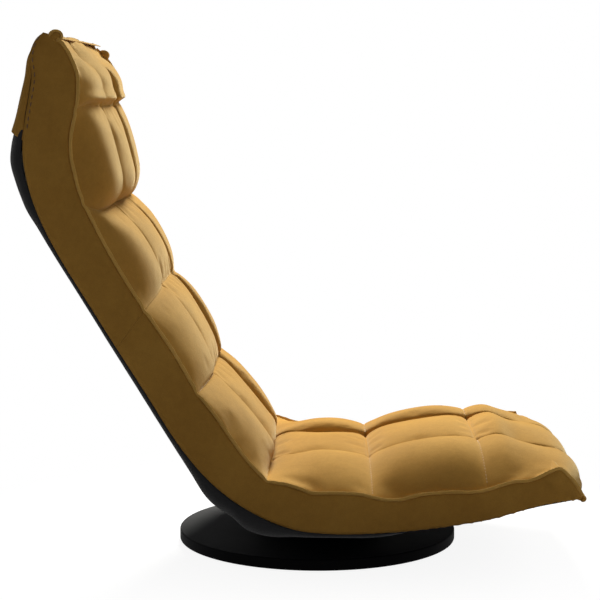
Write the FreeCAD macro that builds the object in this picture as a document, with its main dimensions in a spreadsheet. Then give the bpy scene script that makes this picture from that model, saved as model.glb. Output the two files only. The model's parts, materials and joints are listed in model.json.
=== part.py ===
import FreeCAD, Part
import math
import os

import Sketcher

# Swivelling floor chair with a seat, a reclining back and a tilting head section.
# Millimetres. +Z is up, the chair faces -Y, +X is the sitter's left.
# The origin is on the floor, under the middle of the base disc.

Vector = FreeCAD.Vector

# Driving dimensions. Angles are in degrees.
SIZES = {
    # Base disc, its mat and the riser block
    "mat_diameter": 380,
    "mat_thickness": 2,
    "disc_diameter": 400,
    "disc_thickness": 15.5,
    "disc_edge_round": 2,
    "riser_diameter": 180,
    "riser_height": 30,
    "riser_screw_offset": 42,
    "riser_screw_length": 32,
    # Turntable
    "turntable_side": 150,
    "turntable_corner_round": 12,
    "turntable_plate": 2,
    "turntable_gap": 5.5,
    "ball_diameter": 6,
    "ball_count": 20,
    "race_radius": 41,
    "cage_width": 10,
    "cage_thickness": 1,
    "rivet_diameter": 12,
    "rivet_head_diameter": 22,
    "rivet_head_height": 2.2,
    "turntable_screw_offset": 55,
    "turntable_screw_length": 18,
    "turntable_bolt_offset": 37,
    "screw_diameter": 5,
    "screw_head_diameter": 9,
    "screw_head_height": 2.2,
    "bolt_diameter": 6,
    "nut_flats": 10,
    "bolt_stick_out": 1,
    "nut_height": 5,
    # Fits
    "running_clearance": 0.05,
    "screw_clearance": 0.25,
    "hole_spare": 2,
    "panel_gap": 0.3,
    "cover_gap": 0.5,
    "foam_relief": 0.8,
    # Mounting plate and tube frame
    "mounting_plate_thickness": 3,
    "mounting_plate_width": 190,
    "tube_diameter": 20,
    "tube_wall": 1.2,
    "frame_half_width": 230,
    "seat_rail_rear": 64,
    "seat_kick_start": 95,
    "seat_kick_angle": 12.5,
    "seat_hoop_front": 290,
    "hoop_corner_radius": 60,
    "kick_radius": 120,
    "crossbar_front": 68,
    "strap_width": 42,
    "strap_thickness": 1.5,
    "rear_strap_place": 36,
    "middle_strap_place": 20,
    "front_strap_place": 165,
    "nose_strap_place": 222,
    "back_strap_count": 4,
    "head_strap_place": 24,
    "rear_crossbar_inset": 44,
    # Recline hinge, behind and above the rear of the seat frame
    "recline_setback": 22,
    "recline_rise": 18,
    "back_lean": 31.3,
    "back_rail_offset": 29.2,
    "back_rail_start": 55,
    "back_rail_end": 500,
    "back_crossbar_low": 90,
    "back_crossbar_high": 440,
    # Head hinge in the back's own frame
    "head_hinge_offset": 3.6,
    "head_hinge_rise": 52,
    "head_lean": 12,
    "head_rail_offset": 8,
    "head_rail_start": 40,
    "head_hoop_top": 125,
    # Ratchets
    "eye_radius": 16,
    "tooth_depth": 2.6,
    "tooth_pitch_angle": 9.5,
    "arm_plate": 4,
    "cheek_plate": 2.5,
    "arm_width": 20,
    "tang_width": 13,
    "tang_length": 32,
    "pivot_diameter": 8,
    "pivot_head_diameter": 13,
    "pivot_head_height": 1.5,
    "pawl_pin_diameter": 5,
    "pawl_pin_side": 6,
    "pawl_pin_reach": 31,
    "pawl_boss_radius": 5,
    "pawl_nose_angle": 8,
    "pawl_lift_angle": 15,
    "notch_root_half": 0.75,
    "notch_mouth_half": 1.25,
    "notch_ramp": 1.5,
    "notch_run_out": 0.6,
    "nose_tip_gap": 1,
    "nose_tip_half": 0.35,
    "nose_neck_half": 0.65,
    "nose_heel_half": 3,
    "fork_boss_wall": 4,
    "arm_rivet_diameter": 5,
    "small_head_overhang": 2,
    # Upholstery
    "side_padding": 20,
    "panel_thickness": 5,
    "column_seam": 88,
    "cover_thickness": 1.8,
    "cover_inset": 8,
    "fold_radius": 27,
    "seat_fold_angle": 46,
    "back_fold_angle": 76,
    "nose_foam_radius": 30,
    "nose_quilt_radius": 50,
}

doc = FreeCAD.newDocument("FloorChair")
sheet = doc.addObject("Spreadsheet::Sheet", "Sizes")
nodes = []


def fill_sheet():
    """Write every driving dimension with its alias."""
    for row, (name, size) in enumerate(SIZES.items(), start=1):
        sheet.set("A%d" % row, name)
        sheet.set("B%d" % row, str(size))
        sheet.setAlias("B%d" % row, name)
    doc.recompute()


def number(expression):
    """Value of an expression over the sheet's cells; a plain number stays as it is."""
    if isinstance(expression, str):
        return float(sheet.evalExpression(expression))
    return float(expression)


# Heights of the stack on the floor, as expressions over the sheet
MAT_TOP = "Sizes.mat_thickness"
DISC_TOP = MAT_TOP + " + Sizes.disc_thickness"
RISER_TOP = DISC_TOP + " + Sizes.riser_height"
LOWER_PLATE_TOP = RISER_TOP + " + Sizes.turntable_plate"
UPPER_PLATE_BOTTOM = LOWER_PLATE_TOP + " + Sizes.turntable_gap"
UPPER_PLATE_TOP = UPPER_PLATE_BOTTOM + " + Sizes.turntable_plate"
MOUNTING_TOP = UPPER_PLATE_TOP + " + Sizes.mounting_plate_thickness"
BALL_HEIGHT = LOWER_PLATE_TOP + " + Sizes.turntable_gap / 2"
TUBE_RADIUS = "Sizes.tube_diameter / 2"
BORE_RADIUS = "(Sizes.tube_diameter / 2 - Sizes.tube_wall)"
RAIL_HEIGHT = MOUNTING_TOP + " + Sizes.tube_diameter / 2"

# Hinge lines, and the half widths of the cushions and of the black cover under them
RECLINE_REAR = "(Sizes.seat_rail_rear + Sizes.recline_setback)"
RECLINE_HEIGHT = "(%s + Sizes.recline_rise)" % RAIL_HEIGHT
HEAD_ALONG = "(Sizes.back_rail_end + Sizes.head_hinge_rise)"
CUSHION_HALF = "(Sizes.frame_half_width + Sizes.tube_diameter / 2 + Sizes.side_padding)"
COVER_HALF = "(%s - Sizes.cover_inset)" % CUSHION_HALF


# Sketch and feature helpers

def new_body(name):
    body = doc.addObject("PartDesign::Body", name)
    body.Label = name
    nodes.append(body)
    return body


def add_sketch(body, role, name, offset="0"):
    """Sketch on one of the body's own planes, lifted off it by an expression."""
    plane = [f for f in body.Origin.OriginFeatures if f.Role == role][0]
    sketch = body.newObject("Sketcher::SketchObject", body.Name + "_" + name)
    sketch.AttachmentSupport = [(plane, "")]
    sketch.MapMode = "FlatFace"
    sketch.setExpression("AttachmentOffset.Base.z", offset)
    return sketch


def add_circle(sketch, radius, across="0", up="0"):
    centre = Vector(number(across), number(up), 0)
    circle = sketch.addGeometry(Part.Circle(centre, Vector(0, 0, 1), number(radius)))
    limit = sketch.addConstraint(Sketcher.Constraint("Radius", circle, number(radius)))
    sketch.setExpression("Constraints[%d]" % limit, radius)
    for kind, value in (("DistanceX", across), ("DistanceY", up)):
        limit = sketch.addConstraint(Sketcher.Constraint(kind, circle, 3, number(value)))
        if isinstance(value, str):
            sketch.setExpression("Constraints[%d]" % limit, value)


def add_outline(sketch, points):
    """Closed outline of straight edges; each coordinate is an expression or a plain number."""
    places = [Vector(number(across), number(up), 0) for across, up in points]
    first = sketch.GeometryCount
    count = len(points)
    for i in range(count):
        sketch.addGeometry(Part.LineSegment(places[i], places[(i + 1) % count]))
    for i in range(count):
        joint = Sketcher.Constraint("Coincident", first + i, 2, first + (i + 1) % count, 1)
        sketch.addConstraint(joint)
    for i, (across, up) in enumerate(points):
        for kind, value in (("DistanceX", across), ("DistanceY", up)):
            limit = sketch.addConstraint(Sketcher.Constraint(kind, first + i, 1, number(value)))
            if isinstance(value, str):
                sketch.setExpression("Constraints[%d]" % limit, value)


def add_rectangle(sketch, low_across, high_across, low_up, high_up):
    add_outline(sketch, [(low_across, low_up), (high_across, low_up),
                         (high_across, high_up), (low_across, high_up)])


def pad(body, sketch, length, both_ways=False):
    feature = body.newObject("PartDesign::Pad", sketch.Name + "_pad")
    feature.Profile = sketch
    feature.Midplane = both_ways
    feature.setExpression("Length", length)
    return feature


def pocket(body, sketch, length, both_ways=True):
    """Cut that must take material away."""
    doc.recompute()
    before = body.Shape.Volume
    feature = body.newObject("PartDesign::Pocket", sketch.Name + "_cut")
    feature.Profile = sketch
    feature.Midplane = both_ways
    feature.setExpression("Length", length)
    doc.recompute()
    if feature.Shape.Volume >= before - 1e-3:
        raise ValueError("nothing was cut by " + feature.Name)
    return feature


def circle_edges(shape, radius, height):
    """Names of the round edges of one radius at one height."""
    found = []
    for index, edge in enumerate(shape.Edges, start=1):
        curve = edge.Curve
        if isinstance(curve, Part.Circle) and abs(curve.Radius - radius) < 1e-6:
            if abs(curve.Center.z - height) < 1e-6:
                found.append("Edge%d" % index)
    return found


def round_edges(body, base, edges, radius):
    feature = body.newObject("PartDesign::Fillet", body.Name + "_round")
    feature.Base = (base, edges)
    feature.setExpression("Radius", radius)
    return feature


def shaped(name, shape, placement=None):
    """Sub-part whose shape comes straight from Part's functions."""
    part = doc.addObject("Part::Feature", name)
    part.Label = name
    part.Shape = shape
    if placement is not None:
        part.Placement = placement
    nodes.append(part)
    return part


def four_corners(offset):
    reach = number(offset)
    return [(x, y) for x in (-reach, reach) for y in (-reach, reach)]


def pin_along_z(radius, low, high, x=0, y=0):
    return Part.makeCylinder(radius, high - low, Vector(x, y, low))


def turned(angle, y=0, z=0):
    """Placement turned about X, then moved."""
    return FreeCAD.Placement(Vector(0, y, z), FreeCAD.Rotation(Vector(1, 0, 0), angle))


# Frames of the moving sections, as placements of their hinge lines

def back_frame():
    return turned(-number("Sizes.back_lean"), number(RECLINE_REAR),
                  number(RECLINE_HEIGHT))


def head_frame():
    in_back = turned(number("Sizes.head_lean + Sizes.back_lean"),
                     number("Sizes.head_hinge_offset"), number(HEAD_ALONG))
    return back_frame().multiply(in_back)


# Base

def make_mat():
    body = new_body("anti_slip_mat")
    sketch = add_sketch(body, "XY_Plane", "outline")
    add_circle(sketch, "Sizes.mat_diameter / 2")
    pad(body, sketch, "Sizes.mat_thickness")


def make_disc():
    body = new_body("base_disc")
    sketch = add_sketch(body, "XY_Plane", "outline", MAT_TOP)
    add_circle(sketch, "Sizes.disc_diameter / 2")
    plate = pad(body, sketch, "Sizes.disc_thickness")
    doc.recompute()
    radius = number("Sizes.disc_diameter / 2")
    edges = circle_edges(plate.Shape, radius, number(MAT_TOP))
    edges += circle_edges(plate.Shape, radius, number(DISC_TOP))
    round_edges(body, plate, edges, "Sizes.disc_edge_round")
    holes = add_sketch(body, "XY_Plane", "holes", MAT_TOP)
    sinks = add_sketch(body, "XY_Plane", "sinks", MAT_TOP)
    for sx in ("-", ""):
        for sy in ("-", ""):
            place = (sx + "Sizes.riser_screw_offset", sy + "Sizes.riser_screw_offset")
            add_circle(holes, "Sizes.screw_diameter / 2 + Sizes.screw_clearance", *place)
            add_circle(sinks, "Sizes.screw_head_diameter / 2 + Sizes.screw_clearance", *place)
    pocket(body, holes, "3 * Sizes.disc_thickness")
    pocket(body, sinks, "2 * Sizes.screw_head_height + 2 * Sizes.screw_clearance")


def make_riser():
    body = new_body("base_riser")
    sketch = add_sketch(body, "XY_Plane", "outline", DISC_TOP)
    add_circle(sketch, "Sizes.riser_diameter / 2")
    pad(body, sketch, "Sizes.riser_height")
    recess = add_sketch(body, "XY_Plane", "rivet_recess", RISER_TOP)
    add_circle(recess, "Sizes.rivet_head_diameter / 2 + Sizes.screw_clearance")
    pocket(body, recess, "2 * Sizes.rivet_head_height + 2 * Sizes.panel_gap")
    low = add_sketch(body, "XY_Plane", "low_holes", DISC_TOP)
    high = add_sketch(body, "XY_Plane", "high_holes", RISER_TOP)
    for sx in ("-", ""):
        for sy in ("-", ""):
            low_place = (sx + "Sizes.riser_screw_offset", sy + "Sizes.riser_screw_offset")
            high_place = (sx + "Sizes.turntable_screw_offset", sy + "Sizes.turntable_screw_offset")
            add_circle(low, "Sizes.screw_diameter / 2", *low_place)
            add_circle(high, "Sizes.screw_diameter / 2", *high_place)
    pocket(body, low, "2 * (Sizes.riser_screw_length - Sizes.disc_thickness + Sizes.hole_spare)")
    pocket(body, high, "2 * Sizes.turntable_screw_length")


def screw(x, y, seat, way, length):
    """Round-headed screw; its head starts at the seat and its shank runs the given way."""
    shank = number("Sizes.screw_diameter / 2 - Sizes.running_clearance")
    head = number("Sizes.screw_head_diameter / 2")
    height = number("Sizes.screw_head_height")
    rod = Part.makeCylinder(shank, length, Vector(x, y, seat), Vector(0, 0, way))
    cap = Part.makeCylinder(head, height, Vector(x, y, seat), Vector(0, 0, -way))
    return rod.fuse(cap).removeSplitter()


def make_base_screws():
    seat = number(MAT_TOP + " + Sizes.screw_head_height")
    length = number("Sizes.riser_screw_length - Sizes.screw_head_height")
    screws = [screw(x, y, seat, 1, length) for x, y in four_corners("Sizes.riser_screw_offset")]
    seat = number(LOWER_PLATE_TOP)
    length = number("Sizes.turntable_screw_length")
    screws += [screw(x, y, seat, -1, length)
               for x, y in four_corners("Sizes.turntable_screw_offset")]
    shaped("base_screws", Part.makeCompound(screws))


def turntable_plate(name, low, middle_radius, hole_radius, offset):
    body = new_body(name)
    sketch = add_sketch(body, "XY_Plane", "outline", low)
    half = "Sizes.turntable_side / 2"
    add_rectangle(sketch, "-" + half, half, "-" + half, half)
    plate = pad(body, sketch, "Sizes.turntable_plate")
    doc.recompute()
    corners = [index for index, edge in enumerate(plate.Shape.Edges, start=1)
               if abs(abs(edge.tangentAt(edge.FirstParameter).z) - 1) < 1e-6]
    round_edges(body, plate, ["Edge%d" % index for index in corners],
                "Sizes.turntable_corner_round")
    holes = add_sketch(body, "XY_Plane", "holes", low)
    add_circle(holes, middle_radius)
    for sx in ("-", ""):
        for sy in ("-", ""):
            add_circle(holes, hole_radius, sx + offset, sy + offset)
    pocket(body, holes, "3 * Sizes.turntable_plate")
    race = add_sketch(body, "XZ_Plane", "race")
    add_circle(race, "Sizes.ball_diameter / 2 + Sizes.running_clearance", "Sizes.race_radius",
               BALL_HEIGHT)
    doc.recompute()
    before = body.Shape.Volume
    groove = body.newObject("PartDesign::Groove", name + "_groove")
    groove.Profile = race
    groove.ReferenceAxis = (race, ["V_Axis"])
    groove.Angle = 360
    doc.recompute()
    if groove.Shape.Volume >= before:
        raise ValueError("no race was cut in " + name)


def make_turntable():
    turntable_plate("turntable_lower_plate", RISER_TOP,
                    "Sizes.rivet_diameter / 2 + Sizes.running_clearance",
                    "Sizes.screw_diameter / 2 + Sizes.screw_clearance",
                    "Sizes.turntable_screw_offset")
    turntable_plate("turntable_upper_plate", UPPER_PLATE_BOTTOM,
                    "Sizes.rivet_diameter / 2 + Sizes.running_clearance",
                    "Sizes.bolt_diameter / 2 + Sizes.screw_clearance",
                    "Sizes.turntable_bolt_offset")
    make_cage()
    make_balls()
    make_swivel_rivet()


def make_cage():
    body = new_body("ball_cage")
    low = BALL_HEIGHT + " - Sizes.cage_thickness / 2"
    sketch = add_sketch(body, "XY_Plane", "outline", low)
    add_circle(sketch, "Sizes.race_radius + Sizes.cage_width / 2")
    add_circle(sketch, "Sizes.race_radius - Sizes.cage_width / 2")
    pad(body, sketch, "Sizes.cage_thickness")
    hole = add_sketch(body, "XY_Plane", "hole", low)
    add_circle(hole, "Sizes.ball_diameter / 2 + Sizes.screw_clearance", "Sizes.race_radius")
    window = pocket(body, hole, "3 * Sizes.cage_thickness")
    ring = body.newObject("PartDesign::PolarPattern", "ball_cage_ring")
    ring.Originals = [window]
    ring.Axis = (hole, ["N_Axis"])
    ring.Angle = 360
    ring.setExpression("Occurrences", "Sizes.ball_count")
    body.Tip = ring


def make_balls():
    radius = number("Sizes.ball_diameter / 2")
    race = number("Sizes.race_radius")
    height = number(BALL_HEIGHT)
    count = int(number("Sizes.ball_count"))
    balls = []
    for i in range(count):
        angle = 2 * math.pi * i / count
        balls.append(Part.makeSphere(radius, Vector(race * math.cos(angle),
                                                    race * math.sin(angle), height)))
    shaped("turntable_balls", Part.makeCompound(balls))


def make_swivel_rivet():
    body = new_body("swivel_rivet")
    gap = " + Sizes.running_clearance"
    shaft = add_sketch(body, "XY_Plane", "shaft", RISER_TOP)
    add_circle(shaft, "Sizes.rivet_diameter / 2")
    pad(body, shaft, "2 * Sizes.turntable_plate + Sizes.turntable_gap" + gap)
    foot = add_sketch(body, "XY_Plane", "foot", RISER_TOP + " - Sizes.rivet_head_height")
    add_circle(foot, "Sizes.rivet_head_diameter / 2")
    pad(body, foot, "Sizes.rivet_head_height")
    top = add_sketch(body, "XY_Plane", "top", UPPER_PLATE_TOP + gap)
    add_circle(top, "Sizes.rivet_head_diameter / 2")
    pad(body, top, "Sizes.rivet_head_height")


# Seat frame

def make_mounting_plate():
    body = new_body("seat_mounting_plate")
    sketch = add_sketch(body, "XY_Plane", "outline", UPPER_PLATE_TOP)
    half = "Sizes.mounting_plate_width / 2"
    add_rectangle(sketch, "-" + half, half, "-Sizes.crossbar_front - " + TUBE_RADIUS,
                  "Sizes.seat_rail_rear")
    pad(body, sketch, "Sizes.mounting_plate_thickness")
    holes = add_sketch(body, "XY_Plane", "holes", UPPER_PLATE_TOP)
    add_circle(holes, "Sizes.rivet_head_diameter / 2 + Sizes.screw_clearance")
    for sx in ("-", ""):
        for sy in ("-", ""):
            add_circle(holes, "Sizes.bolt_diameter / 2 + Sizes.screw_clearance",
                       sx + "Sizes.turntable_bolt_offset", sy + "Sizes.turntable_bolt_offset")
    pocket(body, holes, "3 * Sizes.mounting_plate_thickness")


def make_turntable_bolts():
    plate_low = number(UPPER_PLATE_BOTTOM)
    plate_high = number(MOUNTING_TOP)
    radius = number("Sizes.bolt_diameter / 2")
    clearance = number("Sizes.running_clearance")
    nut_height = number("Sizes.nut_height")
    end = plate_high + nut_height + number("Sizes.bolt_stick_out")
    across = number("Sizes.nut_flats")
    bolts = []
    nuts = []
    for x, y in four_corners("Sizes.turntable_bolt_offset"):
        rod = pin_along_z(radius - clearance, plate_low, end, x, y)
        cap = pin_along_z(number("Sizes.screw_head_diameter / 2"),
                          plate_low - number("Sizes.screw_head_height"), plate_low, x, y)
        bolts.append(rod.fuse(cap).removeSplitter())
        corners = [Vector(x + across / math.sqrt(3) * math.cos(math.radians(60 * k)),
                          y + across / math.sqrt(3) * math.sin(math.radians(60 * k)),
                          plate_high) for k in range(7)]
        hexagon = Part.Face(Part.makePolygon(corners)).extrude(Vector(0, 0, nut_height))
        nuts.append(hexagon.cut(pin_along_z(radius + clearance, plate_high,
                                            plate_high + nut_height, x, y)))
    shaped("turntable_bolts", Part.makeCompound(bolts))
    shaped("turntable_nuts", Part.makeCompound(nuts))


def bent_tube(points, radii):
    """Round tube along straight runs joined by tangent arcs."""
    start = points[0]
    edges = []
    for i in range(1, len(points) - 1):
        here = points[i]
        before = (here - points[i - 1]).normalize()
        after = (points[i + 1] - here).normalize()
        turn = before.getAngle(after)
        cut = radii[i - 1] * math.tan(turn / 2)
        first = here - before * cut
        last = here + after * cut
        inward = (after - before).normalize()
        middle = here + inward * (radii[i - 1] / math.cos(turn / 2) - radii[i - 1])
        edges.append(Part.LineSegment(start, first).toShape())
        edges.append(Part.Arc(first, middle, last).toShape())
        start = last
    edges.append(Part.LineSegment(start, points[-1]).toShape())
    path = Part.Wire(edges)
    way = (points[1] - points[0]).normalize()
    outer = number(TUBE_RADIUS)
    skins = []
    for radius in (outer, outer - number("Sizes.tube_wall")):
        ring = Part.Wire(Part.Circle(points[0], way, radius).toShape())
        skins.append(path.makePipeShell([ring], True, False))
    return skins[0].cut(skins[1])


def seat_line(forward):
    """Height of the seat tubes' middle, and the slope there, at a distance forward."""
    height = number(RAIL_HEIGHT)
    start = number("Sizes.seat_kick_start")
    slope = math.radians(number("Sizes.seat_kick_angle"))
    if forward <= start:
        return height, 0.0
    return height + (forward - start) * math.tan(slope), slope


def make_seat_hoop():
    side = number("Sizes.frame_half_width")
    rear = number("Sizes.seat_rail_rear")
    kick = number("Sizes.seat_kick_start")
    front = number("Sizes.seat_hoop_front")
    level = number(RAIL_HEIGHT)
    top = seat_line(front)[0]
    points = [Vector(-side, rear, level), Vector(-side, -kick, level), Vector(-side, -front, top),
              Vector(side, -front, top), Vector(side, -kick, level), Vector(side, rear, level)]
    kick_radius = number("Sizes.kick_radius")
    corner = number("Sizes.hoop_corner_radius")
    hoop = bent_tube(points, [kick_radius, corner, corner, kick_radius])
    holes = [rivet_hole(s * side, rear - number("Sizes.tang_length / 2"), level) for s in (-1, 1)]
    shaped("seat_hoop", hoop.cut(Part.makeCompound(holes)))


def rivet_hole(x, y, z):
    """Cross hole through a tube for the rivet that holds a ratchet arm."""
    radius = number("Sizes.arm_rivet_diameter / 2 + Sizes.running_clearance")
    reach = number("Sizes.tube_diameter")
    return Part.makeCylinder(radius, 2 * reach, Vector(x - reach, y, z), Vector(1, 0, 0))


def crossbar(name, across, up, rail_role, rail_across, frame=None):
    """Straight tube between two rails, its ends cut to their round sides."""
    body = new_body(name)
    sketch = add_sketch(body, "YZ_Plane", "ring")
    add_circle(sketch, TUBE_RADIUS, across, up)
    add_circle(sketch, BORE_RADIUS, across, up)
    pad(body, sketch, "2 * Sizes.frame_half_width", True)
    saddles = add_sketch(body, rail_role, "saddles")
    for sign in ("-", ""):
        add_circle(saddles, TUBE_RADIUS, sign + "Sizes.frame_half_width", rail_across)
    pocket(body, saddles, "4 * " + HEAD_ALONG)
    if frame is not None:
        body.Placement = frame


def make_seat_crossbars():
    front = "-Sizes.crossbar_front"
    rear = "Sizes.seat_rail_rear - Sizes.rear_crossbar_inset"
    crossbar("seat_front_crossbar", front, RAIL_HEIGHT, "XZ_Plane", RAIL_HEIGHT)
    crossbar("seat_rear_crossbar", rear, RAIL_HEIGHT, "XZ_Plane", RAIL_HEIGHT)


def strap(length, width, thickness, placement):
    box = Part.makeBox(length, width, thickness, Vector(-length / 2, -width / 2, 0))
    box.Placement = placement
    return box


def make_seat_webbing():
    length = number("2 * Sizes.frame_half_width + Sizes.tube_diameter / 2")
    width = number("Sizes.strap_width")
    thick = number("Sizes.strap_thickness")
    radius = number(TUBE_RADIUS)
    straps = []
    for place in ("-Sizes.rear_strap_place", "Sizes.middle_strap_place",
                  "Sizes.front_strap_place", "Sizes.nose_strap_place"):
        forward = number(place)
        height, slope = seat_line(forward)
        y = -forward + radius * math.sin(slope)
        z = height + radius * math.cos(slope)
        straps.append(strap(length, width, thick, turned(-math.degrees(slope), y, z)))
    shaped("seat_webbing", Part.makeCompound(straps))


# Ratchet hinges. Each arm is drawn with its hinge line at the origin and its tang along +Z.

def arm_outline(body, offset, start, thickness, name):
    """Eye, strap and tang of an arm, all of one thickness."""
    eye = add_sketch(body, "YZ_Plane", name + "_eye")
    add_circle(eye, "Sizes.eye_radius")
    pad(body, eye, thickness, True)
    half_arm = "Sizes.arm_width / 2"
    half_tang = "Sizes.tang_width / 2"
    shape = add_sketch(body, "YZ_Plane", name + "_strap")
    add_outline(shape, [
        ("-" + half_arm, "0"),
        (half_arm, "0"),
        (offset + " + " + half_tang, start),
        (offset + " + " + half_tang, start + " + Sizes.tang_length"),
        (offset + " - " + half_tang, start + " + Sizes.tang_length"),
        (offset + " - " + half_tang, start),
    ])
    pad(body, shape, thickness, True)


def toothed_arm(name, side, offset, start, nose_angle, steps_low, steps_high, placement):
    """Lower arm: plate with notches round its eye, one for each locking position."""
    body = new_body(name)
    arm_outline(body, offset, start, "Sizes.arm_plate", "arm")
    bore = add_sketch(body, "YZ_Plane", "bores")
    add_circle(bore, "Sizes.pivot_diameter / 2 + Sizes.running_clearance")
    add_circle(bore, "Sizes.arm_rivet_diameter / 2 + Sizes.running_clearance", offset,
               start + " + Sizes.tang_length / 2")
    pocket(body, bore, "3 * Sizes.arm_plate")
    doc.recompute()
    outer = number("Sizes.eye_radius + Sizes.notch_run_out")
    root = number("Sizes.eye_radius - Sizes.tooth_depth")
    narrow = number("Sizes.notch_root_half")
    wide = number("Sizes.notch_mouth_half")
    ramp = number("Sizes.notch_ramp")
    teeth = body.newObject("Sketcher::SketchObject", name + "_notches")
    plane = [f for f in body.Origin.OriginFeatures if f.Role == "YZ_Plane"][0]
    teeth.AttachmentSupport = [(plane, "")]
    teeth.MapMode = "FlatFace"
    pitch = number("Sizes.tooth_pitch_angle")
    for step in range(steps_low, steps_high + 1):
        angle = math.radians(nose_angle + step * pitch)
        corners = []
        for radius, half in ((root, -narrow), (outer, -wide - ramp), (outer, wide),
                             (root, narrow)):
            corners.append(Vector(radius * math.sin(angle) + half * math.cos(angle),
                                  radius * math.cos(angle) - half * math.sin(angle), 0))
        for i in range(4):
            teeth.addGeometry(Part.LineSegment(corners[i], corners[(i + 1) % 4]))
    pocket(body, teeth, "3 * Sizes.arm_plate")
    body.Placement = FreeCAD.Placement(Vector(side, 0, 0), FreeCAD.Rotation()).multiply(placement)


def fork_arm(name, side, offset, start, lean, placement):
    """Upper arm: two cheeks round the toothed plate and the pawl, joined at the tang."""
    body = new_body(name)
    stack = "(Sizes.arm_plate + 2 * Sizes.cheek_plate + 4 * Sizes.running_clearance)"
    arm_outline(body, offset, start, stack, "arm")
    pin = pawl_pin_place(lean)
    boss = add_sketch(body, "YZ_Plane", "boss")
    add_circle(boss, "Sizes.pawl_pin_diameter / 2 + Sizes.fork_boss_wall", pin.y, pin.z)
    pad(body, boss, stack, True)
    bores = add_sketch(body, "YZ_Plane", "bores")
    add_circle(bores, "Sizes.pivot_diameter / 2")
    add_circle(bores, "Sizes.pawl_pin_diameter / 2", pin.y, pin.z)
    add_circle(bores, "Sizes.arm_rivet_diameter / 2 + Sizes.running_clearance", offset,
               start + " + Sizes.tang_length / 2")
    pocket(body, bores, "3 * " + stack)
    slot = add_sketch(body, "YZ_Plane", "slot")
    wide = "2 * Sizes.eye_radius"
    add_rectangle(slot, "-" + wide, offset + " + " + wide, "-" + wide,
                  start + " - Sizes.running_clearance")
    pocket(body, slot, "Sizes.arm_plate + 4 * Sizes.running_clearance")
    body.Placement = FreeCAD.Placement(Vector(side, 0, 0), FreeCAD.Rotation()).multiply(placement)


def pawl_pin_place(lean):
    """Middle of the pawl's pin in its arm's frame; lean is the strap's angle off the tang."""
    side = -number("Sizes.pawl_pin_side")
    reach = number("Sizes.pawl_pin_reach")
    return Vector(0, side * math.cos(lean) + reach * math.sin(lean),
                  reach * math.cos(lean) - side * math.sin(lean))


def pawl(side, lean, placement):
    """Pawl on its pin, swung clear of the notches; swung back, its nose fills one notch."""
    pin = pawl_pin_place(lean)
    nose = lean + math.radians(number("Sizes.pawl_nose_angle"))
    eye = number("Sizes.eye_radius")
    tip = eye - number("Sizes.tooth_depth - Sizes.nose_tip_gap")
    boss = number("Sizes.pawl_boss_radius")
    flank = ((tip, number("Sizes.nose_tip_half")), (eye, number("Sizes.nose_neck_half")),
             (eye + boss, number("Sizes.nose_heel_half")))

    def spot(radius, half):
        return Vector(0, radius * math.sin(nose) + half * math.cos(nose),
                      radius * math.cos(nose) - half * math.sin(nose)) - pin

    corners = [spot(radius, -half) for radius, half in flank]
    along = (spot(eye + boss, 0) * -1).normalize()
    square = Vector(0, along.z, -along.y)
    corners += [square * -boss, square * boss]
    corners += [spot(radius, half) for radius, half in reversed(flank)]
    thick = number("Sizes.arm_plate")
    blade = Part.Face(Part.makePolygon(corners + corners[:1])).extrude(Vector(thick, 0, 0))
    hub = Part.makeCylinder(boss, thick, Vector(0, 0, 0), Vector(1, 0, 0))
    bore = Part.makeCylinder(number("Sizes.pawl_pin_diameter / 2 + Sizes.running_clearance"),
                             thick, Vector(0, 0, 0), Vector(1, 0, 0))
    shape = blade.fuse(hub).cut(bore).removeSplitter()
    lifted = turned(number("Sizes.pawl_lift_angle"), pin.y, pin.z)
    sideways = FreeCAD.Placement(Vector(side - thick / 2, 0, 0), FreeCAD.Rotation())
    shape.Placement = sideways.multiply(placement).multiply(lifted)
    return shape


def both_sides():
    side = number("Sizes.frame_half_width")
    return [-side, side]


def make_pins(name, lean, placement):
    """Pivot pins and pawl pins of a left and a right ratchet."""
    half = number("Sizes.arm_plate / 2 + Sizes.cheek_plate + 2 * Sizes.running_clearance")
    head = number("Sizes.pivot_head_height")
    pins = []
    for side in both_sides():
        pivot = headed_pin(Vector(0, 0, 0), number("Sizes.pivot_diameter / 2"),
                           number("Sizes.pivot_head_diameter / 2"), half, head)
        small = headed_pin(pawl_pin_place(lean), number("Sizes.pawl_pin_diameter / 2"),
                           number("Sizes.pawl_pin_diameter / 2 + Sizes.small_head_overhang"),
                           half, head)
        for pin in (pivot, small):
            pin.Placement = FreeCAD.Placement(Vector(side, 0, 0),
                                              FreeCAD.Rotation()).multiply(placement)
            pins.append(pin)
    shaped(name, Part.makeCompound(pins))


def make_rivets(name, places, placement):
    """Rivets through tube and tang on both sides, at places in one frame."""
    head = number("Sizes.pivot_head_height")
    radius = number("Sizes.arm_rivet_diameter / 2")
    head_radius = radius + number("Sizes.small_head_overhang")
    rivets = []
    for side in both_sides():
        for y, z in places:
            rivets.append(headed_pin(Vector(side, y, z), radius, head_radius,
                                     number(TUBE_RADIUS), head))
    shaped(name, Part.makeCompound(rivets), placement)


def headed_pin(place, radius, head_radius, half, head):
    """Pin along X with a flat head at each end."""
    way = Vector(1, 0, 0)
    rod = Part.makeCylinder(radius, 2 * half, place - way * half, way)
    ends = [Part.makeCylinder(head_radius, head, place - way * (half + head), way),
            Part.makeCylinder(head_radius, head, place + way * half, way)]
    return rod.multiFuse(ends).removeSplitter()


def strap_lean(offset, start):
    """Angle of a fork's strap off its tang."""
    return math.atan2(number(offset), number(start))


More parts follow.
